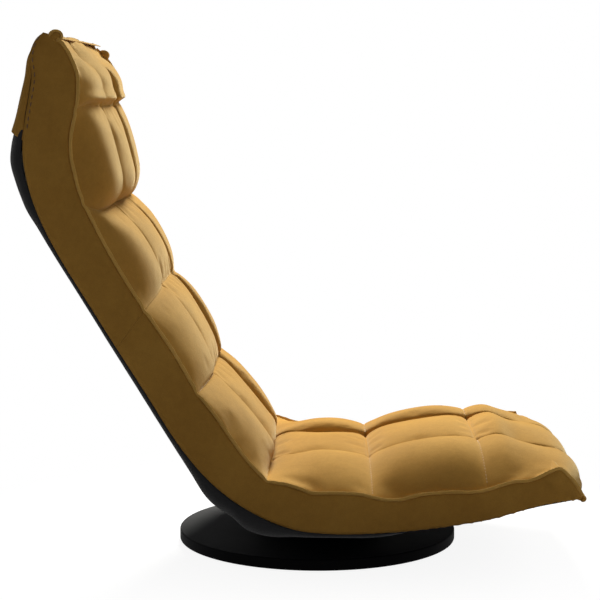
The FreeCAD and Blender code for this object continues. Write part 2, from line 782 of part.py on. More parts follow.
def make_recline_ratchets():
    seat_offset = "(-Sizes.recline_rise)"
    seat_start = "Sizes.recline_setback"
    seat_place = turned(90, number(RECLINE_REAR), number(RECLINE_HEIGHT))
    back_offset = "Sizes.back_rail_offset"
    back_start = "Sizes.back_rail_start"
    lean = strap_lean(back_offset, back_start)
    nose = 90 + number("Sizes.back_lean + Sizes.pawl_nose_angle") + math.degrees(lean)
    for word, sign in (("right", -1), ("left", 1)):
        side = sign * number("Sizes.frame_half_width")
        toothed_arm("recline_toothed_arm_" + word, side, seat_offset, seat_start, nose, -3, 6,
                    seat_place)
        fork_arm("recline_fork_" + word, side, back_offset, back_start, lean, back_frame())
    shaped("recline_pawls", Part.makeCompound([pawl(side, lean, back_frame())
                                               for side in both_sides()]))
    make_pins("recline_pins", lean, back_frame())
    tang = number("Sizes.tang_length / 2")
    make_rivets("seat_rail_rivets", [(number("Sizes.seat_rail_rear") - tang, number(RAIL_HEIGHT))],
                FreeCAD.Placement())


def make_head_ratchets():
    back_offset = "(Sizes.head_hinge_offset - Sizes.back_rail_offset)"
    back_start = "Sizes.head_hinge_rise"
    flipped = turned(180, number("Sizes.head_hinge_offset"), number(HEAD_ALONG))
    back_place = back_frame().multiply(flipped)
    head_offset = "Sizes.head_rail_offset"
    head_start = "Sizes.head_rail_start"
    lean = strap_lean(head_offset, head_start)
    nose = (180 - number("Sizes.back_lean + Sizes.head_lean - Sizes.pawl_nose_angle")
            + math.degrees(lean))
    for word, sign in (("right", -1), ("left", 1)):
        side = sign * number("Sizes.frame_half_width")
        toothed_arm("head_toothed_arm_" + word, side, back_offset, back_start, nose, -2, 4,
                    back_place)
        fork_arm("head_fork_" + word, side, head_offset, head_start, lean, head_frame())
    shaped("head_pawls", Part.makeCompound([pawl(side, lean, head_frame())
                                            for side in both_sides()]))
    make_pins("head_pins", lean, head_frame())
    tang = number("Sizes.tang_length / 2")
    rail = number("Sizes.back_rail_offset")
    make_rivets("back_rail_rivets", [(rail, number("Sizes.back_rail_start") + tang),
                                     (rail, number("Sizes.back_rail_end") - tang)], back_frame())
    make_rivets("head_hoop_rivets", [(number(head_offset), number(head_start) + tang)],
                head_frame())


# Back and head frames

def make_back_rails():
    for word, sign in (("right", "-"), ("left", "")):
        body = new_body("back_rail_" + word)
        ring = add_sketch(body, "XY_Plane", "ring", "Sizes.back_rail_start")
        for radius in (TUBE_RADIUS, BORE_RADIUS):
            add_circle(ring, radius, sign + "Sizes.frame_half_width", "Sizes.back_rail_offset")
        pad(body, ring, "Sizes.back_rail_end - Sizes.back_rail_start")
        holes = add_sketch(body, "YZ_Plane", "rivet_holes")
        for place in ("Sizes.back_rail_start + Sizes.tang_length / 2",
                      "Sizes.back_rail_end - Sizes.tang_length / 2"):
            add_circle(holes, "Sizes.arm_rivet_diameter / 2 + Sizes.running_clearance",
                       "Sizes.back_rail_offset", place)
        pocket(body, holes, "4 * Sizes.frame_half_width")
        body.Placement = back_frame()
    for word in ("low", "high"):
        crossbar("back_%s_crossbar" % word, "Sizes.back_rail_offset",
                 "Sizes.back_crossbar_" + word, "XY_Plane", "Sizes.back_rail_offset",
                 back_frame())


def make_back_webbing():
    length = number("2 * Sizes.frame_half_width + Sizes.tube_diameter / 2")
    width = number("Sizes.strap_width")
    thick = number("Sizes.strap_thickness")
    low = number("Sizes.back_crossbar_low")
    high = number("Sizes.back_crossbar_high")
    front = number("Sizes.back_rail_offset") - number(TUBE_RADIUS)
    count = int(number("Sizes.back_strap_count"))
    straps = []
    for i in range(count):
        z = low + (high - low) * (i + 0.5) / count
        straps.append(strap(length, width, thick, turned(90, front, z)))
    shaped("back_webbing", Part.makeCompound(straps), back_frame())


def make_head_hoop():
    side = number("Sizes.frame_half_width")
    offset = number("Sizes.head_rail_offset")
    start = number("Sizes.head_rail_start")
    top = number("Sizes.head_hoop_top")
    corner = number("Sizes.hoop_corner_radius")
    points = [Vector(-side, offset, start), Vector(-side, offset, top), Vector(side, offset, top),
              Vector(side, offset, start)]
    hoop = bent_tube(points, [corner, corner])
    place = start + number("Sizes.tang_length / 2")
    holes = [rivet_hole(s * side, offset, place) for s in (-1, 1)]
    shaped("head_hoop", hoop.cut(Part.makeCompound(holes)), head_frame())


def make_head_webbing():
    length = number("2 * Sizes.frame_half_width + Sizes.tube_diameter / 2")
    width = number("Sizes.strap_width")
    thick = number("Sizes.strap_thickness")
    front = number("Sizes.head_rail_offset") - number(TUBE_RADIUS)
    place = number("Sizes.head_rail_start + Sizes.head_strap_place")
    band = strap(length, width, thick, turned(90, front, place))
    shaped("head_webbing", Part.makeCompound([band]), head_frame())


# Outlines that the upholstery shares. Seat places are distances forward and rises over the
# middle line of the seat tubes; back and head places are in their own hinge frames.

SEAT_HEM = [(338, -6), (281, -7), (228, -10), (181, -8), (128, -4), (78, -1), (28, -1), (0, 0),
            (-31, 5), (-56, 12)]
SEAT_PIPING = [(-21, 58), (21, 53), (58, 51), (90, 44), (138, 41), (173, 37), (224, 26),
               (239, 33), (278, 28), (318, 37), (340, 5)]
SEAT_FOAM_TOP = [(95, 46), (150, 34), (224, 24)]
BACK_PIPING = [(-37, 59), (-33, 86), (-30, 148), (-25, 195), (-25, 309), (-24, 363), (-26, 417),
               (-29, 448), (-30, 465)]
BACK_HEM = [(23, 507), (28, 480), (32, 446), (33, 319), (31, 206), (29, 127), (25, 95), (19, 65),
            (11, 38)]
HEAD_PIPING = [(-49, 68), (-48, 96), (-43, 121), (-34, 135), (-26, 143), (-9, 151), (3, 161)]
HEAD_HEM = [(15, 155), (22, 137), (24, 120), (25, 78), (22, 55), (12, 50)]

# Where the piping runs round the recline hinge, at either end of the fold
SEAT_FOLD_PIPING = 64
BACK_FOLD_PIPING = 59

# Bottom cover: how far it runs past the front tube, how high its side walls stand in front and
# behind, and the margin of its window round the mounting plate
COVER_NOSE_REACH = 46
COVER_WALL_FRONT = 10
COVER_WALL_REAR = 14
WINDOW_MARGIN = 1

# Thickness of the padded flap behind the head
FLAP_THICKNESS = 3.0

# Distances forward of the two cross seams of the seat, and along the back of its three
FIRST_CROSS = 72.0
SECOND_CROSS = 223.0
LOW_CROSS = 180.0
MIDDLE_CROSS = 321.0
NECK_CROSS_ANGLE = -34.8
HEAD_CROSS_ANGLE = 41.8


def recline_place(angle, radius):
    """Point that far from the recline hinge line; the angle is from forward, turning up."""
    return (number(RECLINE_REAR) - radius * math.cos(math.radians(angle)),
            number(RECLINE_HEIGHT) + radius * math.sin(math.radians(angle)))


def by_hinge(rearward, up):
    """Place given from the recline hinge line."""
    return number(RECLINE_REAR) + rearward, number(RECLINE_HEIGHT) + up


def back_place(angle, radius):
    """The same place in the back's frame."""
    turn = math.radians(angle - number("Sizes.back_lean"))
    return -radius * math.cos(turn), radius * math.sin(turn)


def neck_angle(angle):
    """Angle from forward, in the back's frame."""
    return angle - number("Sizes.back_lean")


def neck_place(angle, radius):
    """Point that far from the head hinge line, in the back's frame."""
    turn = math.radians(neck_angle(angle))
    return (number("Sizes.head_hinge_offset") - radius * math.cos(turn),
            number(HEAD_ALONG) + radius * math.sin(turn))


def back_to_row(place):
    point = back_frame().multVec(Vector(0, *place))
    return point.y, point.z


def head_to_back(place):
    point = back_frame().inverse().multVec(head_frame().multVec(Vector(0, *place)))
    return point.y, point.z


def over_seat_line(places):
    return [(-forward, seat_line(forward)[0] + rise) for forward, rise in places]


def nose_centre():
    front = number("Sizes.seat_hoop_front")
    return -front, seat_line(front)[0]


# Flat upholstery pieces: outlines padded across the chair

def slab(name, points, low, high, placement=None):
    """Outline in the YZ plane, padded along X from low to high."""
    body = new_body(name)
    sketch = add_sketch(body, "YZ_Plane", "outline", low)
    add_outline(sketch, points)
    pad(body, sketch, "%s - (%s)" % (high, low))
    if placement is not None:
        body.Placement = placement
    return body


def side_pair(name, points, placement=None):
    """The same panel on the right and on the left."""
    inner = CUSHION_HALF
    outer = CUSHION_HALF + " + Sizes.panel_thickness"
    slab(name + "_right", points, "-(%s)" % outer, "-" + inner, placement)
    slab(name + "_left", points, inner, outer, placement)


def joined_pair(name, points, placement=None):
    """The same panel on both sides, as one node."""
    inner = number(CUSHION_HALF)
    thick = number("Sizes.panel_thickness")
    panels = []
    for low in (-inner - thick, inner):
        corners = [Vector(low, y, z) for y, z in points + points[:1]]
        panels.append(Part.Face(Part.makePolygon(corners)).extrude(Vector(thick, 0, 0)))
    shaped(name, Part.makeCompound(panels), placement)


def offset_line(points, distance):
    """The same line of straight runs, moved sideways to its left by a distance."""
    moved = []
    for i, (y, z) in enumerate(points):
        normals = []
        for a, b in ((i - 1, i), (i, i + 1)):
            if a >= 0 and b < len(points):
                dy = points[b][0] - points[a][0]
                dz = points[b][1] - points[a][1]
                size = math.hypot(dy, dz)
                normals.append((-dz / size, dy / size))
        ny = sum(n[0] for n in normals) / len(normals)
        nz = sum(n[1] for n in normals) / len(normals)
        share = ny * ny + nz * nz
        moved.append((y + ny / share * distance, z + nz / share * distance))
    return moved


def sheet_along(line, thickness, walls=None):
    """Fabric sheet across the chair whose outer face follows a line, with optional side walls."""
    half = number(COVER_HALF)
    loop = line + offset_line(line, thickness)[::-1]
    corners = [Vector(-half, y, z) for y, z in loop + loop[:1]]
    shape = Part.Face(Part.makePolygon(corners)).extrude(Vector(2 * half, 0, 0))
    if walls:
        pieces = []
        wall = abs(thickness)
        for low in (-half, half - wall):
            corners = [Vector(low, y, z) for y, z in walls + walls[:1]]
            pieces.append(Part.Face(Part.makePolygon(corners)).extrude(Vector(wall, 0, 0)))
        shape = shape.multiFuse(pieces).removeSplitter()
    return shape


def make_side_panels():
    fold = number("Sizes.seat_fold_angle")
    radius = number("Sizes.fold_radius")
    seat = (over_seat_line(SEAT_HEM) + [recline_place(fold, radius),
                                      recline_place(fold, SEAT_FOLD_PIPING)]
            + over_seat_line(SEAT_PIPING))
    side_pair("seat_side_panel", seat)
    low = number("Sizes.back_fold_angle")
    back = ([back_place(low, radius), back_place(low, BACK_FOLD_PIPING)] + BACK_PIPING
            + BACK_HEM)
    side_pair("back_side_panel", back, back_frame())
    side_pair("head_side_panel", HEAD_PIPING + HEAD_HEM, head_frame())
    gusset = [recline_place(fold + 0.3, SEAT_FOLD_PIPING), recline_place(fold + 1.5, radius),
              over_seat_line([(-58.2, 12.8)])[0], by_hinge(-12, 4), by_hinge(4, 12),
              back_to_row((10.5, 37)),
              recline_place(low, radius), recline_place(low, BACK_FOLD_PIPING),
              recline_place(70, 57),
              recline_place(64, 56), recline_place(60, 58), recline_place(53, 61)]
    joined_pair("fold_side_gussets", gusset)
    neck = ([BACK_PIPING[-1]] + [neck_place(a, r) for a, r in ((-24, 71), (-12, 63), (4, 60),
                                                              (18, 60.5), (30, 69))]
            + [head_to_back(p) for p in ((-49, 67.7), (12, 49.7), (21.5, 54.5))]
            + [neck_place(145, 30), neck_place(180, 24), neck_place(215, 29), BACK_HEM[0]])
    joined_pair("neck_side_panels", neck, back_frame())


def make_black_covers():
    thick = number("Sizes.cover_thickness")
    gap = number("Sizes.cover_gap")
    drop = number(TUBE_RADIUS) + thick + gap
    kick = number("Sizes.seat_kick_start")
    front = number("Sizes.seat_hoop_front")
    rear = number("Sizes.seat_rail_rear")
    line = over_seat_line([(-rear, -drop), (kick, -drop), (front, -drop),
                           (front + COVER_NOSE_REACH, -drop)])
    walls = line[:3] + over_seat_line([(front, COVER_WALL_FRONT - drop),
                                       (kick, COVER_WALL_FRONT - drop),
                                       (-rear, COVER_WALL_REAR - drop)])
    shape = sheet_along(line, -thick, walls=walls)
    half = number("Sizes.mounting_plate_width / 2") + WINDOW_MARGIN
    nearest = number("Sizes.crossbar_front") + number(TUBE_RADIUS) + WINDOW_MARGIN
    window = Part.makeBox(2 * half, nearest + rear + WINDOW_MARGIN,
                          number("Sizes.tube_diameter"),
                          Vector(-half, -nearest, number(UPPER_PLATE_BOTTOM)))
    shaped("seat_bottom_cover", shape.cut(window))
    outer = number("Sizes.back_rail_offset") + number(TUBE_RADIUS) + thick + gap
    start = number("Sizes.back_rail_start")
    end = number("Sizes.back_rail_end")
    line = [(outer - 5, start - 21), (outer, start - 1), (outer, end + 2), (outer - 8, end + 38)]
    walls = line + [(20, end + 18), (22, end - 20), (24, start + 20), (22, start - 8)]
    shaped("back_rear_cover", sheet_along(line, thick, walls=walls), back_frame())
    joint = back_to_row((outer - 5.2, start - 21.6))
    line = [over_seat_line([(-rear - gap, -drop)])[0], by_hinge(7, -22), by_hinge(29, -3), joint]
    walls = line + [back_to_row((14, start - 16)), (rear + gap, 84)]
    shaped("corner_cover", sheet_along(line, thick, walls=walls))
    line = [(outer - 8.2, end + 39), neck_place(205, 24.5), neck_place(184, 24.5),
            neck_place(160, 29), head_to_back((26.5, 31))]
    shaped("neck_rear_cover", sheet_along(line, thick), back_frame())
    line = [(27, 32), (26, 60), (25.5, 124), (21, 141), (9.6, 155.8)]
    shaped("head_rear_cover", sheet_along(line, FLAP_THICKNESS), head_frame())


def prism(edges):
    """Closed profile at X = 0 drawn out to the cushions' full width."""
    half = number(CUSHION_HALF)
    face = Part.Face(Part.Wire(edges))
    face.translate(Vector(-half, 0, 0))
    return face.extrude(Vector(2 * half, 0, 0))


def runs(points):
    """Straight edges through places in the YZ plane."""
    spots = [Vector(0, y, z) for y, z in points]
    return [Part.LineSegment(a, b).toShape() for a, b in zip(spots, spots[1:])]


def bend(first, middle, last):
    return Part.Arc(Vector(0, *first), Vector(0, *middle), Vector(0, *last)).toShape()


def make_seat_foam():
    """Slab on the webbing that wraps the front tube."""
    deck = number(TUBE_RADIUS) + number("Sizes.strap_thickness")
    y0, z0 = nose_centre()
    inner = deck + number("Sizes.panel_gap")
    relief = number("Sizes.foam_relief")
    outer = number("Sizes.nose_foam_radius") - relief
    radius = number("Sizes.fold_radius")
    fold = number("Sizes.seat_fold_angle")
    up = 90 + number("Sizes.seat_kick_angle")
    kick = number("Sizes.seat_kick_start")

    def nose(angle, reach):
        turn = math.radians(angle)
        return y0 - reach * math.cos(turn), z0 + reach * math.sin(turn)

    top = over_seat_line([(forward, rise - relief) for forward, rise in SEAT_FOAM_TOP])
    low_rear = over_seat_line([(radius - number(RECLINE_REAR), inner)])[0]
    slope = math.radians(number("Sizes.seat_kick_angle"))
    low = [low_rear, over_seat_line([(kick, inner / math.cos(slope))])[0], nose(up, inner)]
    high = ([nose(up, outer)] + top[::-1]
            + [recline_place(fold, fold_reach(relief)), recline_place(fold, radius), low_rear])
    edges = runs(low)
    edges.append(bend(nose(up, inner), nose(up / 2, inner), nose(0, inner)))
    edges += runs([nose(0, inner), nose(0, outer)])
    edges.append(bend(nose(0, outer), nose(up / 2, outer), nose(up, outer)))
    edges += runs(high)
    shaped("seat_foam", prism(edges))


def fold_reach(relief=0.0):
    """How far from the recline hinge the fold's slope meets the seat foam's top."""
    top = number(RAIL_HEIGHT) + SEAT_FOAM_TOP[0][1] - relief
    return (top - number(RECLINE_HEIGHT)) / math.sin(
        math.radians(number("Sizes.seat_fold_angle")))


def make_back_foam():
    front = number("Sizes.back_rail_offset") - number(TUBE_RADIUS)
    rear = front - number("Sizes.strap_thickness")
    low = back_place(number("Sizes.back_fold_angle"), BACK_BASE_REACH)
    high = neck_place(NECK_CROSS_ANGLE, NECK_BASE_REACH)
    end = number("Sizes.back_rail_end")
    start = number("Sizes.back_rail_start")
    face = BACK_BASE + number("Sizes.panel_gap")
    foot = (rear, start + BACK_FOAM_RISE)
    edges = runs([foot, (rear, end), (face, high[1]), (face, low[1]), foot])
    shaped("back_foam", prism(edges), back_frame())


def make_head_foam():
    """Pad in front of the hoop that wraps over its top."""
    front = number("Sizes.head_rail_offset") - number(TUBE_RADIUS)
    rear = front - number("Sizes.strap_thickness") - number("Sizes.panel_gap")
    middle = number("Sizes.head_rail_offset")
    top = number("Sizes.head_hoop_top")
    wrap = middle - rear
    y0, z0 = HEAD_CENTRE
    relief = number("Sizes.foam_relief")

    def crest(angle):
        turn = math.radians(angle)
        reach = HEAD_BASE - relief
        return y0 - reach * math.cos(turn), z0 + reach * math.sin(turn)

    def over_hoop(angle):
        turn = math.radians(angle)
        return middle - wrap * math.cos(turn), top + wrap * math.sin(turn)

    base = head_base_place()
    low = number("Sizes.head_rail_start")
    edges = runs([(rear, low), over_hoop(0)])
    edges.append(bend(over_hoop(0), over_hoop(60), over_hoop(125)))
    edges += runs([over_hoop(125), crest(100)])
    edges.append(bend(crest(100), crest(50), crest(-2)))
    edges += runs([crest(-2), (HEAD_FACE[0] + relief, HEAD_FACE[1]), base, (rear, low)])
    shaped("head_foam", prism(edges), head_frame())


def head_base_place():
    turn = math.radians(HEAD_CROSS_ANGLE + number("Sizes.head_lean"))
    reach = HEAD_BASE_REACH - number("Sizes.foam_relief")
    return -reach * math.cos(turn), reach * math.sin(turn)


# Quilted cushions. A section is a cut across the chair: the place of its base line, the
# direction that it rises in, how high its base, its edges and its two column seams stand, and
# how far the middle and the outer columns round out between them.

def section(y, z, angle, base, edge, seam, middle, outer):
    """Closed wire across the chair. The angle is from forward, turning up."""
    half = number(CUSHION_HALF)
    column = number("Sizes.column_seam")
    dy = -math.cos(math.radians(angle))
    dz = math.sin(math.radians(angle))

    def at(x, rise):
        return Vector(x, y + dy * rise, z + dz * rise)

    side = (half + column) / 2
    side_rise = (edge + seam) / 2 + outer
    return Part.Wire([
        Part.LineSegment(at(-half, base), at(half, base)).toShape(),
        Part.LineSegment(at(half, base), at(half, edge)).toShape(),
        Part.Arc(at(half, edge), at(side, side_rise), at(column, seam)).toShape(),
        Part.Arc(at(column, seam), at(0, seam + middle), at(-column, seam)).toShape(),
        Part.Arc(at(-column, seam), at(-side, side_rise), at(-half, edge)).toShape(),
        Part.LineSegment(at(-half, edge), at(-half, base)).toShape(),
    ])


# Rise of a padded row over its length: share of the row, share of its full swell
SWELL = [(0.1, 0.55), (0.28, 0.9), (0.5, 1.0), (0.72, 0.9), (0.9, 0.55), (1.0, 0.0)]


def row(start, end, swell):
    """Sections of one row from one seam to the next, without the first seam's own."""
    found = []
    for share, full in SWELL:
        values = [a + (b - a) * share for a, b in zip(start, end)]
        values[4:] = [value + rise * full for value, rise in zip(values[4:], swell)]
        found.append(tuple(values))
    return found


def quilt(name, sections, placement=None):
    wires = [section(*values) for values in sections]
    shaped(name, Part.makeLoft(wires, True, True), placement)


# Where the back's quilt and foam meet, how far that is from the hinges at either end, and how
# far above the rails' ends the foam starts
BACK_BASE = -22.0
BACK_FOAM_RISE = 5.0
BACK_BASE_REACH = 31.0
NECK_BASE_REACH = 63.2
NECK_INNER = 30.0

# Middle of the head's rounded top, the radius of the foam there, where its front face ends and
# how far that is from the head hinge at the cross seam
HEAD_CENTRE = (5.0, 110.0)
HEAD_BASE = 36.0
HEAD_FACE = (-24.0, 72.0)
HEAD_BASE_REACH = 45.0


def make_seat_cushion():
    """Three rows of tufts: behind, middle, and the front one that rolls over the nose."""
    fold = number("Sizes.seat_fold_angle")
    reach = fold_reach()
    y0, z0 = nose_centre()
    foam = number("Sizes.nose_foam_radius")
    crown = number("Sizes.nose_quilt_radius")
    up = 90 + number("Sizes.seat_kick_angle")
    rear_y = number(RECLINE_REAR)
    rear_z = number(RECLINE_HEIGHT)
    low = number(RAIL_HEIGHT) + SEAT_FOAM_TOP[0][1]
    high = seat_line(SECOND_CROSS)[0] + SEAT_FOAM_TOP[-1][1]
    first = (-FIRST_CROSS, low, 90, 0, 3, 16, 8, 8)
    second = (-SECOND_CROSS, high, 90, 0, 3, 32, 6, 8)
    sections = [
        (rear_y, rear_z, fold, reach, 64, 82, 10, 12),
        (0, low, 90, 0, 7, 28, 10, 18),
        (-FIRST_CROSS / 2, low, 90, 0, 6, 27, 9, 17),
        (-FIRST_CROSS * 0.86, low, 90, 0, 4, 22, 8, 12),
        first,
    ]
    sections += row(first, second, (2, 12, 4, 9))
    sections += [
        (-SECOND_CROSS - 12, high + 4.4, 90, 0, 3, 36.6, 7, 12),
        (-SECOND_CROSS - 34, high + 11.8, 92, 0, 4, 34.2, 10, 17),
        (y0, z0, up, foam, foam + 3, crown + 2, 11, 17),
        (y0, z0, 78, foam, foam + 7, crown, 10, 14),
        (y0, z0, 58, foam, foam + 12, crown - 4, 8, 11),
        (y0, z0, 38, foam, foam + 15, crown - 5, 7, 8),
        (y0, z0, 18, foam, foam + 17, crown - 3, 5, 6),
        (y0, z0, 2, foam, foam + 20, crown + 2, 3, 3),
    ]
    quilt("seat_cushion", sections)


def make_lumbar_fold():
    """The quilt's valley between seat and back, fanned out round the recline hinge."""
    rear_y = number(RECLINE_REAR)
    rear_z = number(RECLINE_HEIGHT)
    radius = number("Sizes.fold_radius")
    quilt("lumbar_fold", [
        (rear_y, rear_z, number("Sizes.seat_fold_angle") + 0.3, radius, 64, 82, 10, 12),
        (rear_y, rear_z, 53, radius, 61, 74, 10, 12),
        (rear_y, rear_z, 60, radius, 58, 62, 6, 8),
        (rear_y, rear_z, 64, radius, 56, 54, 3, 4),
        (rear_y, rear_z, 70, radius, 57, 62, 8, 10),
        (rear_y, rear_z, number("Sizes.back_fold_angle"), radius, 59, 70, 12, 14),
    ])


def make_back_cushion():
    """Three rows of tufts up the back."""
    low = (BACK_BASE, LOW_CROSS, 0, 0, 4, 16, 2, 4)
    middle = (BACK_BASE, MIDDLE_CROSS, 0, 0, 4, 16, 2, 4)
    hinge = (number("Sizes.head_hinge_offset"), number(HEAD_ALONG))
    sections = [
        (0, 0, number("Sizes.back_fold_angle - Sizes.back_lean"), BACK_BASE_REACH, 59, 70, 12, 14),
        (BACK_BASE, 52, 30, 0, 13, 30, 10, 14),
        (BACK_BASE, 90, 10, 0, 8, 25, 9, 14),
        (BACK_BASE, 130, 0, 0, 5, 22, 8, 13),
        (BACK_BASE, 162, 0, 0, 4, 19, 5, 9),
        low,
    ]
    sections += row(low, middle, (1, 6, 5, 9))
    sections += [
        (BACK_BASE, MIDDLE_CROSS + 14, 0, 0, 4, 20, 4, 9),
        (BACK_BASE, MIDDLE_CROSS + 36, 0, 0, 5, 23, 7, 13),
        (BACK_BASE, MIDDLE_CROSS + 64, 0, 0, 5, 24, 8, 14),
        (BACK_BASE, MIDDLE_CROSS + 97, -12, 0, 6, 23, 8, 12),
        (BACK_BASE, MIDDLE_CROSS + 126, -32, 0, 8, 23, 5, 8),
        hinge + (neck_angle(NECK_CROSS_ANGLE), NECK_BASE_REACH, 92, 112, 2, 4),
    ]
    quilt("back_cushion", sections, back_frame())


def make_neck_cushion():
    """Bent row between back and head, fanned out round the head hinge."""
    hinge = (number("Sizes.head_hinge_offset"), number(HEAD_ALONG))
    rows = [
        (NECK_CROSS_ANGLE, 92, 112, 2, 4),
        (-27, 78, 105, 9, 9),
        (-15, 64, 94, 11, 15),
        (0, 60, 86, 11, 17),
        (15, 60, 86, 11, 17),
        (28, 67, 91, 9, 14),
        (36, 76, 96, 6, 9),
        (HEAD_CROSS_ANGLE - 0.3, 84, 101, 2, 4),
    ]
    quilt("neck_cushion", [hinge + (neck_angle(values[0]), NECK_INNER) + values[1:]
                           for values in rows], back_frame())


def make_head_cushion():
    """Head row, rolled over the top of the hoop."""
    first = HEAD_CROSS_ANGLE + number("Sizes.head_lean")
    quilt("head_cushion", [
        (0, 0, first, HEAD_BASE_REACH, 84, 101, 2, 4),
        HEAD_FACE + (28, 0, 26, 38, 8, 12),
        HEAD_CENTRE + (-2, HEAD_BASE, 53, 59, 10, 14),
        HEAD_CENTRE + (12, HEAD_BASE, 52, 56, 10, 12),
        HEAD_CENTRE + (30, HEAD_BASE, 47, 50, 9, 9),
        HEAD_CENTRE + (50, HEAD_BASE, 45, 47, 8, 7),
        HEAD_CENTRE + (72, HEAD_BASE, 43, 48, 6, 5),
        HEAD_CENTRE + (92, HEAD_BASE, 44, 47, 4, 3),
    ], head_frame())


def check_document():
    """Stop before anything is written if an object failed or a shape is unsound."""
    doc.recompute()
    for item in doc.Objects:
        if "Invalid" in item.State or "Error" in item.State:
            raise ValueError(item.Name + " failed")
    for item in nodes:
        if item.Shape.isNull() or not item.Shape.isValid() or not item.Shape.Solids:
            raise ValueError(item.Label + " has no sound shape")


fill_sheet()
make_mat()
make_disc()
make_riser()
make_base_screws()
make_turntable()
make_mounting_plate()
make_turntable_bolts()
make_seat_hoop()
make_seat_crossbars()
make_seat_webbing()
make_recline_ratchets()
make_back_rails()
make_back_webbing()
make_head_ratchets()
make_head_hoop()
make_head_webbing()
make_side_panels()
make_black_covers()
make_seat_foam()
make_back_foam()
make_head_foam()
make_seat_cushion()
make_lumbar_fold()
make_back_cushion()
make_neck_cushion()
make_head_cushion()
check_document()

os.makedirs("parts", exist_ok=True)
for item in nodes:
    item.Shape.exportStep("parts/%s.step" % item.Label)
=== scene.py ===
import json
import math

import bpy
import numpy as np
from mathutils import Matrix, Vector, noise


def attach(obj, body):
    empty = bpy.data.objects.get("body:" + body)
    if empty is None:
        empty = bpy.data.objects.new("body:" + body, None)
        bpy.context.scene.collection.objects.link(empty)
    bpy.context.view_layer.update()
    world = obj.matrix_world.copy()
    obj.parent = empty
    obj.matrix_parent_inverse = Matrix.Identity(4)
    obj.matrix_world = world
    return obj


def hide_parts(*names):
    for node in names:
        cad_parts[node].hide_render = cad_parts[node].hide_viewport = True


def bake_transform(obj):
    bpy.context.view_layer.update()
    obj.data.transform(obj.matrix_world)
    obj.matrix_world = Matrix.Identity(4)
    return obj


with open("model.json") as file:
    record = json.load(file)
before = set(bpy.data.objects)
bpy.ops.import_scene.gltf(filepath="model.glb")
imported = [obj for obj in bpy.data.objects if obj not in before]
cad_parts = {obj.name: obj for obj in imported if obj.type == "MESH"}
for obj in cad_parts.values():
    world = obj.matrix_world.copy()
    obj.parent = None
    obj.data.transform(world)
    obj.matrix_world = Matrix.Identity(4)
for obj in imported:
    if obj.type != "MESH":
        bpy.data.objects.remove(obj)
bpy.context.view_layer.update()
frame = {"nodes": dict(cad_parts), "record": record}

MM = 0.001

# Places are (Y, Z) in millimetres, in the row's frame: the chair faces -Y, its left is +X.
SIDE = 260.0                    # half width at the piping
COLUMN = 88.0                   # column seams, from the middle
RECLINE = (86.0, 88.0)          # hinge between seat and back
HEAD = (375.851, 557.791)       # hinge between back and head
BACK_LEAN = 31.3
HEAD_LEAN = 12.0
NOSE = (-290.0, 113.2)          # start of the rises of the front roll
SEAT_HEIGHT = 70.0              # line of the seat's frame
KICK_FROM = 95.0                # how far forward it starts to rise
KICK = 12.5                     # the angle at which it rises
MAT = 2.0                       # what the mat lifts the disc by


def unit(v):
    return v / np.maximum(np.linalg.norm(v, axis=-1, keepdims=True), 1e-9)


def read_at(t, known, values):
    """Each column of a table of values, read at t."""
    return np.stack([np.interp(t, known, column) for column in values.T], -1)


def turn(place, angle, centre):
    a = math.radians(angle)
    y, z = place
    return (centre[0] + y * math.cos(a) - z * math.sin(a),
            centre[1] + y * math.sin(a) + z * math.cos(a))


def back(y, z):
    return turn((y, z), -BACK_LEAN, RECLINE)


def head(y, z):
    return turn((y, z), HEAD_LEAN, HEAD)


def seat_line(forward):
    return SEAT_HEIGHT + max(0.0, forward - KICK_FROM) * math.tan(math.radians(KICK))


def seen(places):
    """Side-view places (forward, up from the disc's underside) to (Y, Z)."""
    return [(-u, w + MAT) for u, w in places]


# ---- side outlines

PIPING = seen([
    (347, 118), (342, 128), (332, 142), (318, 154), (306, 150), (294, 144), (278, 138),
    (259, 136.5), (240, 131), (224, 125.5), (206, 122.5), (173, 122), (138, 119), (122, 115),
    (109, 112), (90, 112), (73, 115), (58, 119), (21, 121), (-8, 121), (-21, 126), (-40, 132),
    (-66, 138), (-85, 156), (-102, 177), (-137, 228), (-157, 254), (-187, 306), (-225, 363),
    (-254, 409), (-280, 456), (-294, 484), (-302, 501), (-309, 519), (-314, 540), (-318, 559),
    (-319, 577), (-318, 591), (-315, 606), (-311, 622), (-309, 640), (-309, 666),
    (-314, 682), (-320, 695), (-329, 708), (-341, 718)])

# Hem of the velvet side: matched places on the piping and on the hem
SIDE_PAIRS = [
    ((347, 118), (344, 112)), ((318, 154), (314, 108)), ((278, 138), (281, 100.5)),
    ((224, 125.5), (228, 85.5)), ((138, 119), (140, 72)), ((73, 115), (78, 67)),
    ((21, 121), (20, 66)), ((-21, 126), (-31, 72)), ((-66, 138), (-90, 97)),
    ((-102, 177), (-136, 131)), ((-137, 228), (-177, 178)), ((-187, 306), (-228, 259)),
    ((-225, 363), (-262, 313)), ((-254, 409), (-294, 365)), ((-294, 484), (-345, 451)),
    ((-309, 519), (-369, 507)), ((-318, 559), (-380, 560)), ((-318, 591), (-378, 600)),
    ((-309, 640), (-372, 634)), ((-309, 666), (-367, 665)), ((-314, 682), (-369, 692)),
    ((-329, 708), (-361, 712)), ((-341, 718), (-351, 721))]


def sums(steps):
    """Running sums of steps, from 0 on."""
    return np.concatenate([[0.0], np.cumsum(steps)])


def arc_of(line):
    return sums(np.linalg.norm(np.diff(line, axis=0), axis=1))


